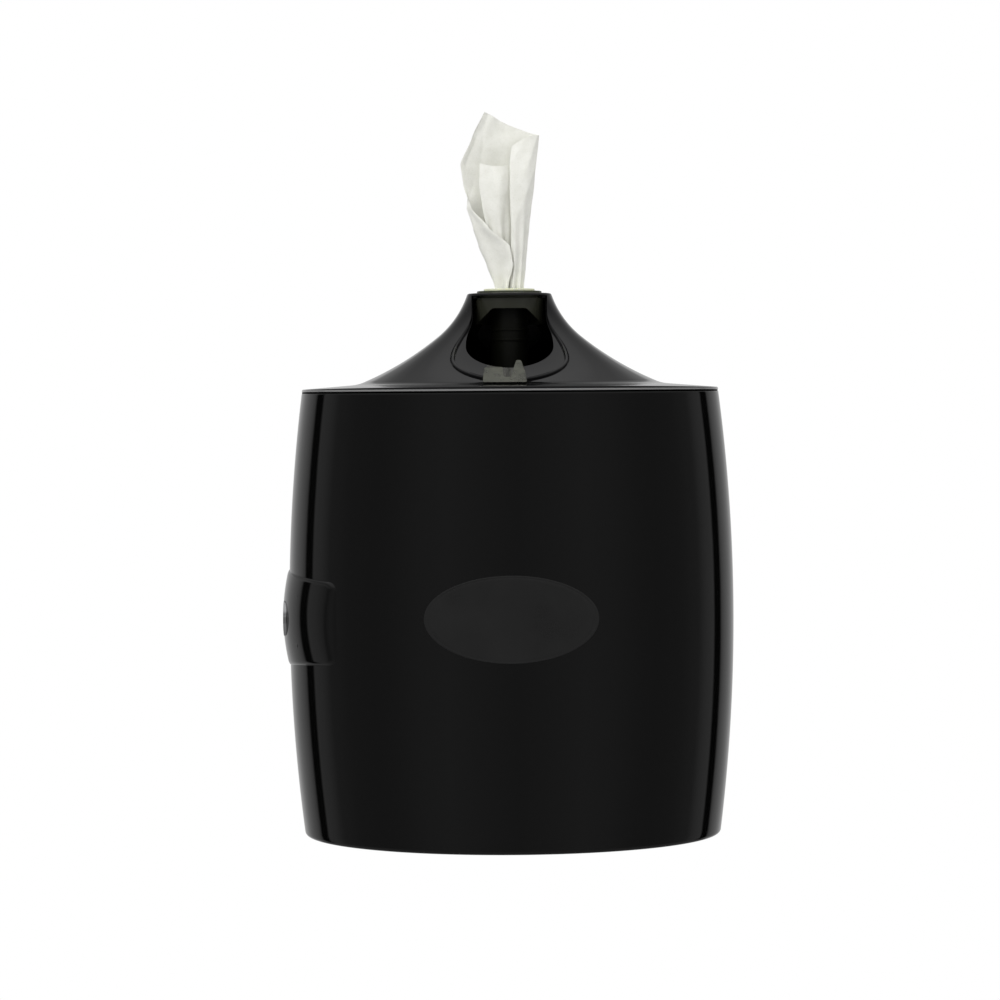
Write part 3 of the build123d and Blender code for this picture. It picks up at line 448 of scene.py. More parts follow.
def sidePoint(along, height, growth):
    depth = -cover["parting"] - along + body["housingDepth"]
    halfWidth, reach = halfWidthAt(height) + growth, depthAt(height) + growth
    return Vector((-halfWidth * sqrt(1 - (depth / reach) ** 2), -cover["parting"] - along, height))


def makeBoss():
    points = []
    for top in (True, False):
        for row in range(boss["rows"] + 1):
            along = boss["reach"] * sin(pi / 2 * row / boss["rows"])
            for column in range(boss["columns"] + 1):
                share = sin(pi / 2 * (2 * column / boss["columns"] - 1))
                half = bossHalf(along)
                off = share * half
                gaps = (boss["reach"] - along, half - abs(off))
                near = 0 if min(gaps) < 1e-6 else sum(gap**-3 for gap in gaps) ** (-1 / 3)
                roll = 1 - min(near / boss["roll"], 1)
                swell = boss["edgeRise"] + (boss["rise"] - boss["edgeRise"]) * (1 - (off / boss["half"]) ** 2)
                growth = swell * sqrt(1 - roll**2) + boss["lift"] if top else -boss["sunk"]
                points.append(sidePoint(along, body["lockHeight"] + off, growth))
    pillow = makePiece("lockBoss", points, slabFaces(boss["rows"] + 1, boss["columns"] + 1))
    combine(pillow, [rod("recess", lock["headRecess"], lock["seat"], lock["outside"], lockPlace, 96),
                     rod("bore", lock["bore"], lock["inside"], lock["outside"], lockPlace, 96)], "DIFFERENCE")
    peg = boss["peg"]
    joinPieces(pillow, [rod("peg", peg["radius"], peg["from"], peg["to"],
                            lockPlace @ Matrix.Translation((peg["along"], side * peg["off"], 0)), 32)
                        for side in (-1, 1)])
    dress(pillow, "coverGloss", "cover", ["lock_boss"])


makeBoss()


# Hood: brim and trumpet cone on two tangent arcs, one skin, with the window's sunk step cut in front
hood = {"top": (26.3, 61.2), "waist": (45.0, 34.2), "foot": (95.8, 4.4), "lean": 18.5, "wall": 3.0,
        "bore": 20.5, "boreRound": 0.4, "rimFlat": 23.0, "rimRound": 1.1, "footRound": 4.0, "edgeHeight": 1.6,
        "brimRadius": 131, "edgeRound": 0.9, "endHalfWidth": 131, "endDepth": 116, "upperSteps": 20,
        "lowerSteps": 34, "screwFoot": (5, 136.5, 140.2),
        "turnStep": 1.5, "fineTurnStep": 0.5, "fineFrom": (36, 132), "fineSteps": 25}
window = {"top": 59.6, "neckLow": 48.5, "flare": 10.6, "step": 1.4, "outside": (23.6, 36.6, 19.5, 4.9),
          "opening": (22.8, 27.0, 27.5, 14.2), "columns": 49}
rib = {"wide": 34.9, "low": 6.6, "sunk": 0.9, "thin": 0.4, "thicker": 1.15, "ends": 0.45, "sides": 12}


def tangentArc(start, heading, end, steps):  # points and outward normals on an arc that starts along heading
    side, chord = Vector((-heading[1], heading[0])), Vector(end) - Vector(start)
    radius = chord.length_squared / (2 * chord.dot(side))
    centre = Vector(start) + side * radius
    first, last = Vector(start) - centre, Vector(end) - centre
    turn = atan2(first.x * last.y - first.y * last.x, first.dot(last))
    marks = []
    for step in range(steps + 1):
        spoke = Matrix.Rotation(turn * step / steps, 2) @ first
        normal = spoke.normalized() * (-1 if radius > 0 else 1)
        marks.append((centre + spoke, normal if normal.x > 0 else -normal))
    spoke = Matrix.Rotation(turn, 2) @ first
    ahead = Vector((-spoke.y, spoke.x)).normalized() * (1 if turn > 0 else -1)
    return marks, ahead


topHeading = (sin(radians(hood["lean"])), -cos(radians(hood["lean"])))
upperArc, waistHeading = tangentArc(hood["top"], topHeading, hood["waist"], hood["upperSteps"])
lowerArc, footHeading = tangentArc(hood["waist"], waistHeading, hood["foot"], hood["lowerSteps"])
coneMarks = upperArc + lowerArc[1:]


def coneRadius(height, inset):  # radius of the cone's skin, set in by an inset, at a height
    skin = [mark - normal * inset for mark, normal in coneMarks]
    return float(np.interp(height, [mark.y for mark in reversed(skin)], [mark.x for mark in reversed(skin)]))


def outlineReach(turn):  # from the nozzle's axis to the body's outline at its top
    across, up = cos(turn), sin(turn)
    halfWidth, depth, corner = hood["endHalfWidth"], hood["endDepth"], body["cornerRounding"]
    wall = body["nozzleDepth"]
    ahead = body["housingDepth"] - wall
    square = across**2 / halfWidth**2 + up**2 / depth**2
    slope = 2 * ahead * up / depth**2
    reach = (-slope + sqrt(slope**2 - 4 * square * (ahead**2 / depth**2 - 1))) / (2 * square)
    if up * reach <= -ahead:
        return reach
    if abs(across) > 1e-9:
        reach = halfWidth / abs(across)
        if up * reach <= wall - corner:
            return reach
    if up > 0 and wall / up * abs(across) <= halfWidth - corner:
        return wall / up
    towards = Vector((halfWidth - corner, wall - corner))
    along = towards.dot(Vector((abs(across), up)))
    return along + sqrt(along**2 - towards.length_squared + corner**2)


def easedCorner(start, corner, end, steps):
    return [tuple(start.lerp(corner, step / steps).lerp(corner.lerp(end, step / steps), step / steps))
            for step in range(steps + 1)]


def brimHeight(reach):
    foot, edge = hood["foot"], hood["edgeHeight"]
    return edge + (foot[1] - edge) * max(0, (hood["brimRadius"] - reach) / (hood["brimRadius"] - foot[0]))


def hoodProfile(reach):
    rim, wall, bore, soft = hood["rimRound"], hood["wall"], hood["bore"], hood["boreRound"]
    top = hood["top"][1]
    profile = [(bore, top - wall + 0.3), (bore, top - soft), (bore + 0.3 * soft, top - 0.3 * soft),
               (bore + soft, top), (hood["rimFlat"], top)]
    corner, foot = Vector(hood["top"]), Vector(hood["foot"])
    profile += easedCorner(corner - Vector((rim, 0)), corner, corner + Vector(topHeading) * rim, 5)
    profile += [tuple(mark) for mark, _ in coneMarks
                if mark.y < top - rim * 1.15 and mark.x < foot.x - hood["footRound"]]
    end = Vector((foot.x + hood["footRound"], brimHeight(foot.x + hood["footRound"])))
    profile += easedCorner(foot - footHeading * hood["footRound"], foot, end, 6)
    edge, outer = hood["edgeRound"], reach - hood["edgeRound"]
    for step in range(1, 7):
        across = end.x + (outer - end.x) * step / 6
        profile.append((across, brimHeight(across)))
    height = brimHeight(outer)
    profile += [(outer + edge * sin(radians(turn)), height - edge + edge * cos(radians(turn)))
                for turn in (18, 36, 54, 72, 90)]
    inside = [mark - normal * wall for mark, normal in coneMarks]
    inside = [mark for mark in inside if mark.y < top - wall - 0.8]
    profile += [(reach, 0.25), (reach - 0.25, 0), (reach - 4, 0), (inside[-1].x + 2, 0), (inside[-1].x, 0)]
    profile += [tuple(mark) for mark in reversed(inside)]
    profile += [(inside[0].x - 0.6, top - wall), (bore + 0.3, top - wall)]
    return profile


def windowHalves(neckHalf, wideHalf, wideHeight, low):
    rows = [(window["top"], neckHalf), (window["neckLow"] + 4, neckHalf)]
    for step in range(25):
        share = step / 24
        back, flare = 1 - share, window["flare"]
        across = neckHalf * (back**3 + 3 * back**2 * share) + wideHalf * (3 * back * share**2 + share**3)
        height = (window["neckLow"] * back**3 + 3 * (window["neckLow"] - flare) * back**2 * share
                  + 3 * (wideHeight + flare) * back * share**2 + wideHeight * share**3)
        rows.append((height, across))
    rows += [(wideHeight - (wideHeight - low) * sin(radians(turn)), wideHalf * cos(radians(turn)))
             for turn in range(4, 91, 2)]
    return rows


def windowCutter(name, outline, inset):  # without an inset it goes through to the nozzle's axis
    rows, columns = windowHalves(*outline), window["columns"]
    points = []
    for front in (True, False):
        for height, half in rows:
            for column in range(columns):
                across = half * sin(pi / 2 * (2 * column / (columns - 1) - 1))
                deep = 0 if inset is None else sqrt(max(coneRadius(height, inset) ** 2 - across**2, 0))
                deep = body["nozzleDepth"] if front else deep
                points.append(nozzlePlace @ Vector((across, -deep, height)))
    return makePiece(name, points, slabFaces(len(rows), columns, True))


def makeRib():  # raised lip round the sunk step, thickest at its lower corners
    half = [row for row in windowHalves(window["outside"][0], rib["wide"], window["outside"][2], rib["low"])
            if row[0] < window["neckLow"] - 6][:-1]
    path = [(height, -across) for height, across in half] + half[::-1]
    spots = [Vector((across, -sqrt(coneRadius(height, rib["sunk"]) ** 2 - across**2), height))
             for height, across in path]
    points, sides = [], rib["sides"]
    for index, spot in enumerate(spots):
        ahead = (spots[min(index + 1, len(spots) - 1)] - spots[max(index - 1, 0)]).normalized()
        aside = ahead.cross(Vector((spot.x, spot.y, 40))).normalized()
        away = aside.cross(ahead)
        share = index / (len(spots) - 1)
        swell = abs(sin(2 * pi * share)) ** 0.6 * (1 - rib["ends"] * abs(2 * share - 1))
        radius = rib["thin"] + rib["thicker"] * swell
        for side in range(sides):
            spin = 2 * pi * side / sides
            points.append(nozzlePlace @ (spot + (aside * cos(spin) + away * sin(spin)) * radius))
    faces = gridFaces(len(spots), sides, False, True)
    faces += [list(range(sides)), list(range(len(points) - sides, len(points)))]
    return makePiece("rib", points, faces)


def makeHood():
    turns = {round(hood["turnStep"] * step, 3) for step in range(240)}
    for start in hood["fineFrom"]:  # finer round the two back corners
        turns |= {round(start + hood["fineTurnStep"] * step, 3) for step in range(hood["fineSteps"])}
    points = []
    for turn in map(radians, sorted(turns)):
        profile = hoodProfile(outlineReach(turn))
        points += [nozzlePlace @ Vector((across * cos(turn), across * sin(turn), up))
                   for across, up in profile]
    skin = makePiece("hoodSkin", points, gridFaces(len(turns), len(profile), True, True))
    combine(skin, [windowCutter("stepCutter", window["outside"], window["step"]),
                   windowCutter("openingCutter", window["opening"], None)], "DIFFERENCE")
    combine(skin, [makeRib()], "UNION")
    joinPieces(skin, [rod("foot", *hood["screwFoot"], Matrix.Translation((*spot, 0)), 32)
                      for spot in screwSpots["hood"]])
    dress(skin, "hoodGloss", "wall_unit", ["hood"], 28)


makeHood()


# Back housing: the moulded tub with its flat bands eased onto the barrel's true arc
housing = {"bands": 7, "cuts": 6, "easeFrom": 100, "easeOver": 15}


def makeHousing():
    tub = bpy.data.objects.new("backHousing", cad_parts["back_housing"].data.copy())
    bpy.context.scene.collection.objects.link(tub)
    bands, cuts = housing["bands"], housing["bands"] * housing["cuts"]
    shape = bmesh.new()
    shape.from_mesh(tub.data)
    bmesh.ops.remove_doubles(shape, verts=shape.verts, dist=2e-6)
    for step in range(1, cuts):
        height = body["top"] * (2 * step / cuts - 1)
        bmesh.ops.bisect_plane(shape, geom=[*shape.verts, *shape.edges, *shape.faces], dist=1e-7,
                               plane_co=(0, 0, height * mm), plane_no=(0, 0, 1))
    for point in shape.verts:
        height = max(-body["top"], min(body["top"], point.co.z / mm))
        band = min(bands - 1, int((height / body["top"] + 1) / 2 * bands))
        low, high = (body["top"] * (2 * (band + end) / bands - 1) for end in (0, 1))
        share = (height - low) / (high - low)
        chord = halfWidthAt(low) * (1 - share) + halfWidthAt(high) * share
        ease = max(0, min(1, (abs(point.co.x) / mm - housing["easeFrom"]) / housing["easeOver"]))
        point.co.x += (halfWidthAt(height) - chord) * ease * (1 if point.co.x > 0 else -1) * mm
    shape.to_mesh(tub.data)
    shape.free()
    if tub.data.has_custom_normals:
        with bpy.context.temp_override(object=tub, active_object=tub, selected_objects=[tub]):
            bpy.ops.mesh.customdata_custom_splitnormals_clear()
    dress(tub, "housingSatin", "wall_unit", ["back_housing"], 28)


makeHousing()


# Oval label: thin satin film that follows the front, with a fine pressed line inside its edge
# Its rings are shares of the way out and of the film's rise
label = {"halfWidth": 52.7, "halfHeight": 26.4, "height": 2.7, "thick": 0.38, "turns": 144,
         "rings": ((0, 1), (0.2, 1), (0.4, 1), (0.6, 1), (0.8, 1), (0.9, 1), (0.945, 1), (0.952, 0.82),
                   (0.962, 0.82), (0.969, 1), (0.985, 1), (0.993, 0.93), (0.998, 0.75), (1, 0.45), (1, -0.4),
                   (0.8, -0.4), (0.4, -0.4), (0, -0.4))}


def frontPoint(across, height, growth):
    halfWidth, depth = halfWidthAt(height) + growth, depthAt(height) + growth
    return Vector((across, -body["housingDepth"] - depth * sqrt(1 - (across / halfWidth) ** 2), height))


def makeLabel():
    points = []
    for step in range(label["turns"]):
        turn = 2 * pi * step / label["turns"]
        points += [frontPoint(label["halfWidth"] * share * cos(turn),
                              label["height"] + label["halfHeight"] * share * sin(turn),
                              label["thick"] * rise) for share, rise in label["rings"]]
    film = makePiece("labelOval", points, gridFaces(label["turns"], len(label["rings"]), True, False))
    dress(film, "labelFilm", "cover", ["label_oval"], 50)


makeLabel()


# Clip on the window's sill: low block, slot and a pointed fin, bent to the cone
clip = {"inner": 1.4, "outer": 0.8, "cut": (20, 110), "softEdge": 0.4,
        "outline": ((-16.4, 5.3, 1), (10.4, 5.3, 0.8), (9.7, 10.5, 3), (7.0, 18.6, 1.2), (4.0, 19.0, 1.3),
                    (1.3, 10.5, 2), (1.1, 8.6, 0.5), (-3.7, 8.6, 0.6), (-4.2, 14.6, 1.0), (-15.6, 14.4, 1.6))}


def makeClip():
    piece = prism("windowClip", roundCorners(clip["outline"], 5), *clip["cut"], nozzleFront)
    outside = [tuple(mark + normal * clip["outer"]) for mark, normal in coneMarks]
    inside = [tuple(mark - normal * clip["inner"]) for mark, normal in coneMarks]
    combine(piece, [lathe("bent", outside + inside[::-1], nozzlePlace, 240)], "INTERSECT")
    softenEdges(piece, clip["softEdge"], 40, 3)
    dress(piece, "clipFrost", "wall_unit", ["window_clip"])


makeClip()


# Turned parts at the nozzle: ring with its skirt, soft membrane, guide tube
# Their corners are (radius, height, rounding)
nozzle = {"ring": ((11.7, 51.2, 0.3), (13.6, 51.2, 0.3), (13.6, 53.4, 0.4), (20.6, 53.4, 0.4),
                   (20.6, 41.8, 0.4), (22.6, 41.8, 0.5), (22.6, 58.2, 0.3), (20.35, 58.2, 0.3),
                   (20.35, 62.7, 0.5), (16.05, 62.7, 0.2), (16.05, 62.0, 0.1), (11.7, 62.0, 0.2)),
          "arch": ((-20.4, 38, 0), (20.4, 38, 0), (20.4, 41.9, 0.5), (10.6, 51.6, 3), (-10.6, 51.6, 3),
                   (-20.4, 41.9, 0.5)),
          "archCut": (0.5, 60)}
membrane = {"disc": ((9.6, 62.05, 0.3), (16.0, 62.05, 0.2), (16.0, 64.1, 0.7), (13.2, 64.1, 1.5),
                     (11.6, 63.6, 1.2), (9.6, 63.3, 0.4))}
tube = {"radius": 11.65, "wall": 1.5, "top": 62, "upperRow": 46, "low": 10, "belled": -4, "mouth": (19, -18),
        "bands": (38.4, 32.1), "band": ((0, 0.8, 0.2), (0.7, 0.8, 0.3), (0.7, -0.8, 0.3), (0, -0.8, 0.2))}


def makeNozzle():
    ring = lathe("nozzleRing", roundCorners(nozzle["ring"]), nozzlePlace, 120)
    arch = prism("arch", roundCorners(nozzle["arch"], 6), *nozzle["archCut"], nozzleFront)
    combine(ring, [arch], "DIFFERENCE")
    dress(ring, "nozzleSmoke", "wall_unit", ["nozzle_body"])
    disc = lathe("nozzleMembrane", roundCorners(membrane["disc"], 5), nozzlePlace, 120)
    dress(disc, "membraneSoft", "wall_unit", ["nozzle_membrane"])


def makeTube():
    radius, inner, top, low = tube["radius"], tube["radius"] - tube["wall"], tube["top"], tube["low"]
    bell = [mark for mark, _ in tangentArc((radius, tube["belled"]), (0, -1), tube["mouth"], 14)[0]]
    outside = [(radius, top), (radius, tube["upperRow"])]
    for middle in tube["bands"]:
        outside += roundCorners([(radius + out, middle + up, soft) for out, up, soft in tube["band"]], 3)
    outside += [(radius, low)] + [tuple(mark) for mark in bell]
    inside = [(inner, top), (inner, low)] + [(mark.x - tube["wall"], mark.y) for mark in bell]
    pipe = lathe("guideTube", outside + inside[::-1], nozzlePlace, 96)
    dress(pipe, "tubeSmoke", "wall_unit", ["chute_tube"])


makeNozzle()
makeTube()


# Screws: domed heads with a cross recess, shanks with thread rings
screw = {"head": ((0, 0, 0), (3.6, 0, 0), (3.6, 1.0, 0.3), (2.9, 1.95, 0.9), (0, 2.2, 0)),
         "arm": ((-1.9, -0.35), (1.9, -0.35), (1.9, 0.35), (-1.9, 0.35)), "recess": 0.9, "turns": (20, 110),
         "thread": 1.75, "core": 1.45, "tip": 1.4, "pitch": 0.8, "groove": 0.25,
         "seats": {"hood": 133.5, "shelf": -129.4, "strike": (-127, -98)},
         "lengths": {"hood": 6.6, "shelf": 7.2, "strike": 6}, "strikeApart": 10}


def makeScrews(name, places, length, node):
    made = []
    for place in places:
        head = lathe(name, roundCorners(screw["head"], 5), place, 48)
        turned = [place @ Matrix.Rotation(radians(turn), 4, "Z") for turn in screw["turns"]]
        combine(head, [prism("arm", screw["arm"], screw["recess"], 3, spot) for spot in turned], "DIFFERENCE")
        shank = [(0, 0.1), (screw["thread"], 0.1)]
        depth = 0.3
        while depth < length - 1:
            shank += [(screw["core"], -depth), (screw["core"], -depth - screw["groove"]),
                      (screw["thread"], -depth - 2 * screw["groove"])]
            depth += screw["pitch"]
        shank += [(screw["tip"], -length + 0.5), (0, -length + 0.05)]
        made += [head, lathe("shank", shank, place, 32)]
    joinPieces(made[0], made[1:])
    dress(made[0], "screwSteel", "wall_unit", [node], 25)


upwards = Matrix.Rotation(pi, 4, "X")
inwards = Matrix(((0, 0, 1, 0), (1, 0, 0, 0), (0, 1, 0, 0), (0, 0, 0, 1)))
seats, lengths = screw["seats"], screw["lengths"]
strikeHeights = [body["lockHeight"] + side * screw["strikeApart"] for side in (-1, 1)]
makeScrews("hoodScrews", [Matrix.Translation((*spot, seats["hood"])) @ upwards for spot in screwSpots["hood"]],
           lengths["hood"], "hood_screws")
makeScrews("shelfScrews", [Matrix.Translation((*spot, seats["shelf"])) for spot in screwSpots["shelf"]],
           lengths["shelf"], "shelf_screws")
makeScrews("strikeScrews", [Matrix.Translation((*seats["strike"], height)) @ inwards
                            for height in strikeHeights], lengths["strike"], "strike_screws")


# Roll: wound web with its layer edges standing unevenly at both ends, and the outer end laid down
roll = {"radius": 98, "core": 24, "low": -127.1, "high": 24.9, "turns": 200, "layer": 1.15, "uneven": 0.35,
        "flap": 0.5, "inset": 0.45, "lowInset": 0.25, "groove": 0.3, "lowGroove": 0.2, "edge": 0.9,
        "lowEdge": 0.8, "bands": 24, "coreBands": 12, "dent": 0.35, "coreDent": 0.5}


def makeRoll():
    points = []
    low, high, core = roll["low"], roll["high"], roll["core"]
    layers = int((roll["radius"] - core) / roll["layer"] * 2)
    for step in range(roll["turns"]):
        turn = 2 * pi * step / roll["turns"]
        outer = roll["radius"] - roll["flap"] * step / roll["turns"]
        profile = []
        for index in range(layers + 1):
            across = core + (outer - core) * index / layers
            lift = noise.noise(Vector((across * 0.9, cos(turn) * 1.5, sin(turn) * 1.5))) * roll["uneven"]
            dip = 0.0 if index % 2 else roll["groove"]
            edge = roll["edge"] if index in (0, layers) else 0
            profile.append((across, high - roll["inset"] + lift - dip - edge))
        for level in range(1, roll["bands"]):
            height = high + (low - high) * level / roll["bands"]
            dent = noise.noise(Vector((cos(turn) * 3, sin(turn) * 3, height / 22))) * roll["dent"]
            profile.append((outer - 0.35 + dent, height))
        profile += [(across, low + roll["lowInset"] + (roll["lowGroove"] if index % 2 else 0)
                     + (roll["lowEdge"] if index in (0, layers) else 0))
                    for index, (across, _) in enumerate(profile[:layers + 1])][::-1]
        for level in range(1, roll["coreBands"]):
            dent = noise.noise(Vector((cos(turn) * 2, sin(turn) * 2, level))) * roll["coreDent"]
            profile.append((core + dent, low + (high - low) * level / roll["coreBands"]))
        points += [(across * cos(turn), across * sin(turn) - body["nozzleDepth"], up)
                   for across, up in profile]
    wound = makePiece("wipesRoll", points, gridFaces(roll["turns"], len(profile), True, True))
    dress(wound, "rollFabric", "wall_unit", ["wipes_roll"], 60)


makeRoll()


# The standing wipe: one sheet from its left free edge round the back, over to the front and in again.
# A row of its table is a height over the wipe's base and where fourteen threads across the sheet are, in plan
wipe = {"base": 204.3, "foot": -84.3, "flat": (152, 203), "columns": 196, "rows": 170, "pleats": 18,
        "pleat": (0.03, 1.2, 1.1), "wave": (0.3, 0.7), "crease": -0.9, "looseFrom": 70, "twist": 2.2,
        "ease": 0.35,
        "tops": (110.5, 109, 105, 100.5, 97, 95.4, 94.8, 88.5, 86, 84, 81, 77, 76.3, 78)}
wipeRows = {
    -84: ((-2, -3.6), (-4.4, -1), (-3.6, 2), (-1, 3.6), (2.5, 2.8), (4.4, 0), (3.4, -2.6), (1.8, -3.4),
          (1.8, -2), (2.6, -0.8), (1.6, 0), (0, -0.6), (-1.8, -1.4), (-3.2, -0.6)),
    0: ((-0.6, -7.6), (-8.3, -2), (-6.5, 3), (-1, 5.5), (5, 4), (8.3, 0), (6, -5), (1, -6.3), (2.2, -4),
        (5, -1.5), (3, 0), (0, -1), (-3.5, -2.5), (-6, -1)),
    14: ((2.6, -9), (-14, -2.5), (-9.5, 3), (-1, 5), (7, 3.5), (10.2, 0), (7.5, -5), (2, -7.4), (3.5, -5),
         (7, -2), (4.5, -0.3), (0, -1.5), (-5, -3.5), (-9, -2)),
    26: ((0.6, -9.8), (-18.6, -2), (-12.5, 3.5), (-1, 5), (8, 4), (11.7, 0), (8.5, -5.4), (1.6, -8.3),
         (3.5, -5.8), (8.5, -2.5), (5.5, -0.5), (0, -2), (-6, -4), (-11.5, -2.5)),
    38: ((-13.1, -8), (-22.4, -1.5), (-14, 4.5), (-1, 6), (9, 4.5), (13, 0), (9, -5.5), (2, -8.5),
         (3.5, -5.5), (9.5, -2.5), (6.5, -0.5), (0, -2.5), (-7.5, -4.5), (-14, -3)),
    50: ((-23.5, -4), (-26.3, 0), (-15, 5.5), (-1, 7), (10, 5), (14.3, 0), (10, -6), (1.5, -8.5),
         (3.5, -5.5), (10.5, -2.5), (7, -0.5), (0, -3), (-8.5, -5), (-16.5, -3.5)),
    64: ((-28.2, 1), (-24, 3.5), (-14, 6), (0, 7), (11, 5), (15.9, 0), (11, -6), (1, -8.5), (3.5, -5.5),
         (11.5, -2.5), (8, -0.5), (0, -3.5), (-9, -5), (-18.5, -3.5)),
    78: ((-30.1, 1), (-25, 3.5), (-14, 6), (1, 6.5), (12.5, 5), (17.8, 0), (12.5, -5.5), (1, -8),
         (3.5, -5.5), (12, -2.5), (8, -0.5), (0, -3.3), (-9, -4.5), (-18, -3.5)),
    95: ((-22.6, 1), (-18, 3), (-9, 5), (4, 5.5), (14.5, 4), (20.3, 0), (14, -4.5), (3, -6.5), (5, -5),
         (12, -2.5), (8, -0.5), (0, -3), (-8, -4), (-16, -3.5)),
    112: ((-14.4, 1), (-10, 2.5), (-2, 4), (8, 4.5), (17, 3), (22.5, 0), (16, -4), (6, -5.5), (6, -4.5),
          (12, -2.5), (8, -0.5), (0, -3), (-8, -4), (-16, -3.5)),
}


def smoothAlong(values, share):  # a smooth line through evenly spaced values
    spot = share * (len(values) - 1)
    index = min(int(spot), len(values) - 2)
    part = spot - index
    before, first = values[max(index - 1, 0)], values[index]
    second, after = values[index + 1], values[min(index + 2, len(values) - 1)]
    return 0.5 * (2 * first + (second - before) * part
                  + (2 * before - 5 * first + 4 * second - after) * part**2
                  + (3 * first - before - 3 * second + after) * part**3)


def makeWipe():
    heights = np.array(list(wipeRows), float)
    table = np.array(list(wipeRows.values()), float)  # by row, by thread, across and deep
    tops = np.array(wipe["tops"], float)
    columns, rows = wipe["columns"], wipe["rows"]
    always, gathered, below = wipe["pleat"]
    threads = np.array([[smoothAlong(level, column / columns) for column in range(columns + 1)]
                        for level in table])
    points = []
    for row in range(rows + 1):
        for column in range(columns + 1):
            share = column / columns
            top = smoothAlong(tops, share)
            height = wipe["foot"] + (top - wipe["foot"]) * row / rows
            spot = float(np.interp(height, heights, np.arange(len(heights))))
            index = min(int(spot), len(heights) - 2)
            part = spot - index
            part = part * part * (3 - 2 * part) * wipe["ease"] + part * (1 - wipe["ease"])
            line = threads[index] * (1 - part) + threads[index + 1] * part
            here = line[column]
            run = line[min(column + 1, columns)] - line[max(column - 1, 0)]
            across = np.array((-run[1], run[0])) / max(hypot(*run), 1e-6)
            tight = 1 - max(0, min(1, height / wipe["looseFrom"])) if height > 0 else 1.0
            inTube = max(0, min(1, -height / 12))
            pleat = (sin(2 * pi * wipe["pleats"] * share + 0.4 * sin(height / 17))
                     * (always + gathered * tight**2 + below * inTube))
            wave = (noise.noise(Vector((share * 9, height / 26, 3.7)))
                    * (wipe["wave"][0] + wipe["wave"][1] * (1 - tight)))
            crease = (abs(noise.noise(Vector((share * 16 + height / 60, height / 34, 9.1))))
                      * wipe["crease"] * (1 - tight * 0.5))
            spin = radians(wipe["twist"] * max(0, -height))
            spread = here + across * (pleat + wave + crease)
            points.append((spread[0] * cos(spin) - spread[1] * sin(spin),
                           -body["nozzleDepth"] + spread[0] * sin(spin) + spread[1] * cos(spin),
                           wipe["base"] + height))
    sheet = makePiece("pulledWipe", points, gridFaces(rows + 1, columns + 1), False)
    dress(sheet, "wipeFabric", "wipe", ["pulled_wipe"], 180)


makeWipe()


# The web that follows it, gathered to a cord, from the tube down to the roll's core
strand = {"low": -99.5, "high": 119.6, "columns": 210, "rows": 120, "pleats": 17, "pleat": (1.35, 0.8),
          "wound": 1.7, "turn": 1.6, "reach": (2.0, 1.3, 5), "looseFrom": 20, "looseOver": 120, "uneven": 0.4}


def makeStrand():
    points = []
    inner, growth, spread = strand["reach"]
    for row in range(strand["rows"] + 1):
        height = strand["low"] + (strand["high"] - strand["low"]) * row / strand["rows"]
        loose = max(0, min(1, (strand["looseFrom"] - height) / strand["looseOver"])) ** 1.5
        pleat = strand["pleat"][0] + strand["pleat"][1] * loose
        for column in range(strand["columns"] + 1):
            share = column / strand["columns"]
            turn = 2 * pi * (strand["wound"] * share + strand["turn"] * height / 220)
            reach = inner + growth * share + spread * loose + pleat * sin(2 * pi * strand["pleats"] * share)
            reach += noise.noise(Vector((share * 20, height / 30, 1.3))) * strand["uneven"]
            points.append((reach * cos(turn), -body["nozzleDepth"] + reach * sin(turn), height))
    web = makePiece("wipeStrand", points, gridFaces(strand["rows"] + 1, strand["columns"] + 1), False)
    dress(web, "wipeFabric", "wipe", ["wipe_strand"], 180)


makeStrand()


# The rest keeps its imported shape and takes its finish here
carried = {"shelfSatin": ["roll_shelf"], "zincSheet": ["strike_plate", "lock_nut", "lock_cam"],
           "screwSteel": ["hinge_pin_top", "hinge_pin_bottom", "cam_screw"],
           "lockChrome": ["lock_barrel", "lock_plug"], "bushNylon": ["hinge_bush_top", "hinge_bush_bottom"]}
for finish, nodes in carried.items():
    for node in nodes:
        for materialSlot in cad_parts[node].material_slots:
            materialSlot.material = finishes[finish]
print("carried nodes dressed")


# Studio: pale floor, soft lamps, and a white surround that glossy rays see as panels: "around" gives their
# brightness by the angle from the front, for low rays, and "above" by the height of steeper ones
studio = {"floorHeight": -1.2, "floorReach": 2.2, "floorShade": 0.86, "floorMirrored": 0.2,
          "fade": (1.4, 0.7), "plain": 0.55, "shift": 2.5, "high": (0.2, 0.26), "aim": (0, -0.1, 0.05),
          "around": ((0, 0.135), (10, 0.15), (32, 0.19), (46, 0.17), (60, 0.13), (70, 0.115), (88, 0.115),
                     (97, 0.13), (103, 0.13), (108, 0.19), (112, 0.215), (119.5, 0.215), (121.5, 0.0),
                     (129, 0.0), (131.5, 0.22), (136, 0.31), (143, 0.37), (150, 0.43), (156, 0.51),
                     (162, 0.56), (172, 0.6)),
          "above": ((0.26, 0.3), (0.34, 0.26), (0.42, 0.19), (0.5, 0.18), (0.59, 0.24), (0.64, 0.32),
                    (0.71, 0.41), (0.8, 0.45), (1.0, 0.5)),
          "lamps": (((-1.5, -2.0, 1.5), 1.3, 30), ((1.9, -1.5, 0.7), 1.2, 9), ((0.2, -0.6, 2.2), 1.4, 16))}


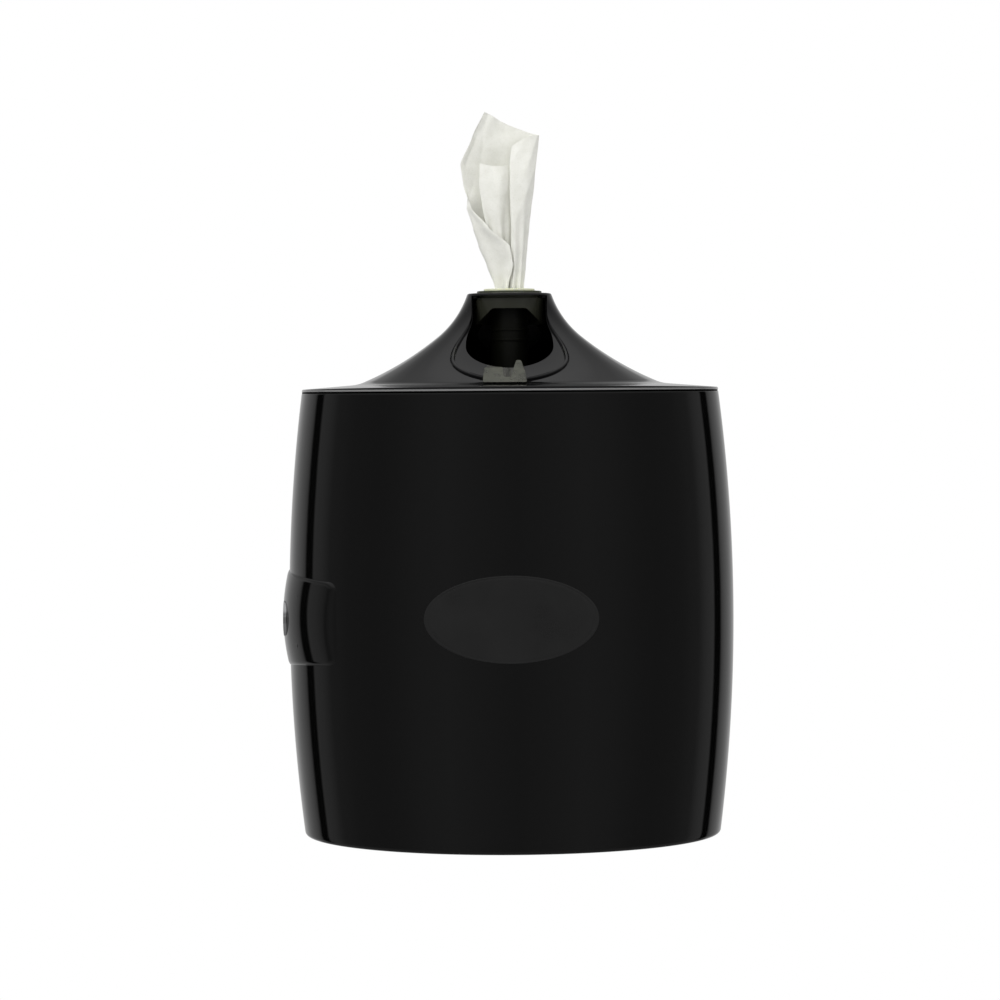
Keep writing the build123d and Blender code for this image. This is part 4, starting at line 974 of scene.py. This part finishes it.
def makeStudio():
    reach, white = studio["floorReach"] * 1000, (1, 1, 1, 1)
    rim = [(reach * cos(pi * step / 32), reach * sin(pi * step / 32), studio["floorHeight"] * 1000)
           for step in range(64)]
    floor = makePiece("floor", rim, [list(range(64))], False)
    material = bpy.data.materials.new("floorPale")
    material.use_nodes = True
    bench = Bench(material.node_tree)
    away = bench.node("ShaderNodeVectorMath", {"operation": "LENGTH"}, {0: bench.place()}, 1)
    fade = bench.ramp((away - studio["fade"][0]) / studio["fade"][1], (0.0, 0.0), (1.0, 1.0))
    seen, mirrored = (bench.node("ShaderNodeLightPath", {}, {}, index) for index in (0, 3))
    matt = bench.node("ShaderNodeBsdfDiffuse", {}, {"Color": (*[studio["floorShade"]] * 3, 1)})
    glow = bench.node("ShaderNodeEmission", {}, {"Color": white, "Strength": 1.0})
    dim = bench.node("ShaderNodeEmission", {}, {"Color": white, "Strength": studio["floorMirrored"]})
    near = bench.node("ShaderNodeMixShader", {}, {0: mirrored, 1: matt, 2: dim})
    both = bench.node("ShaderNodeMixShader", {}, {0: seen * fade, 1: near, 2: glow})
    bench.node("ShaderNodeOutputMaterial", {}, {"Surface": both})
    floor.data.materials.append(material)
    world = bpy.data.worlds.new("studio")
    bpy.context.scene.world = world
    world.use_nodes = True
    air = Bench(world.node_tree)
    heading = air.node("ShaderNodeTexCoord", {}, {}, 0)
    across, deep, up = (air.axis(heading, index) for index in range(3))
    turn = air.node("ShaderNodeMath", {"operation": "ARCTAN2"}, {0: across, 1: 0 - deep})
    turn = air.node("ShaderNodeMath", {"operation": "ABSOLUTE"}, {0: turn - radians(studio["shift"])}) / pi
    side = air.ramp(turn, *((angle / 180, shade) for angle, shade in studio["around"]))
    high = air.ramp(up, (studio["high"][0], 0.0), (studio["high"][1], 1.0))
    mirrored = side * (1 - high) + high * air.ramp(up, *studio["above"])
    camera, glossy, through = (air.node("ShaderNodeLightPath", {}, {}, index) for index in (0, 3, 6))
    glossy = glossy * (1 - through)
    plain = (1 - camera) * (1 - glossy) * (1 - through) * studio["plain"]
    strength = camera + through + glossy * mirrored + plain
    sky = air.node("ShaderNodeBackground", {}, {"Color": white, "Strength": strength})
    air.node("ShaderNodeOutputWorld", {}, {"Surface": sky})
    for spot, size, power in studio["lamps"]:
        lamp = bpy.data.lights.new("softLamp", "AREA")
        lamp.size, lamp.energy = size, power
        holder = bpy.data.objects.new("softLamp", lamp)
        holder.location = spot
        holder.rotation_euler = (Vector(studio["aim"]) - Vector(spot)).to_track_quat("-Z", "Y").to_euler()
        holder.visible_glossy = False
        bpy.context.scene.collection.objects.link(holder)
    print("studio lit")


makeStudio()

view = {"spot": (0, -2.393, 0.1395), "lens": 130.0, "sensor": 36, "down": 1.73, "turn": 0.17, "roll": -0.42,
        "clip": (0.05, 60)}
eye = bpy.data.cameras.new("camera")
eye.lens, eye.sensor_width = view["lens"], view["sensor"]
eye.clip_start, eye.clip_end = view["clip"]
camera = bpy.data.objects.new("camera", eye)
camera.matrix_world = (Matrix.Translation(view["spot"]) @ Matrix.Rotation(radians(view["turn"]), 4, "Z")
                       @ Matrix.Rotation(radians(90 - view["down"]), 4, "X")
                       @ Matrix.Rotation(radians(view["roll"]), 4, "Z"))
bpy.context.scene.collection.objects.link(camera)
bpy.context.scene.camera = camera
bpy.context.scene.view_settings.view_transform = "Standard"
print("camera set")
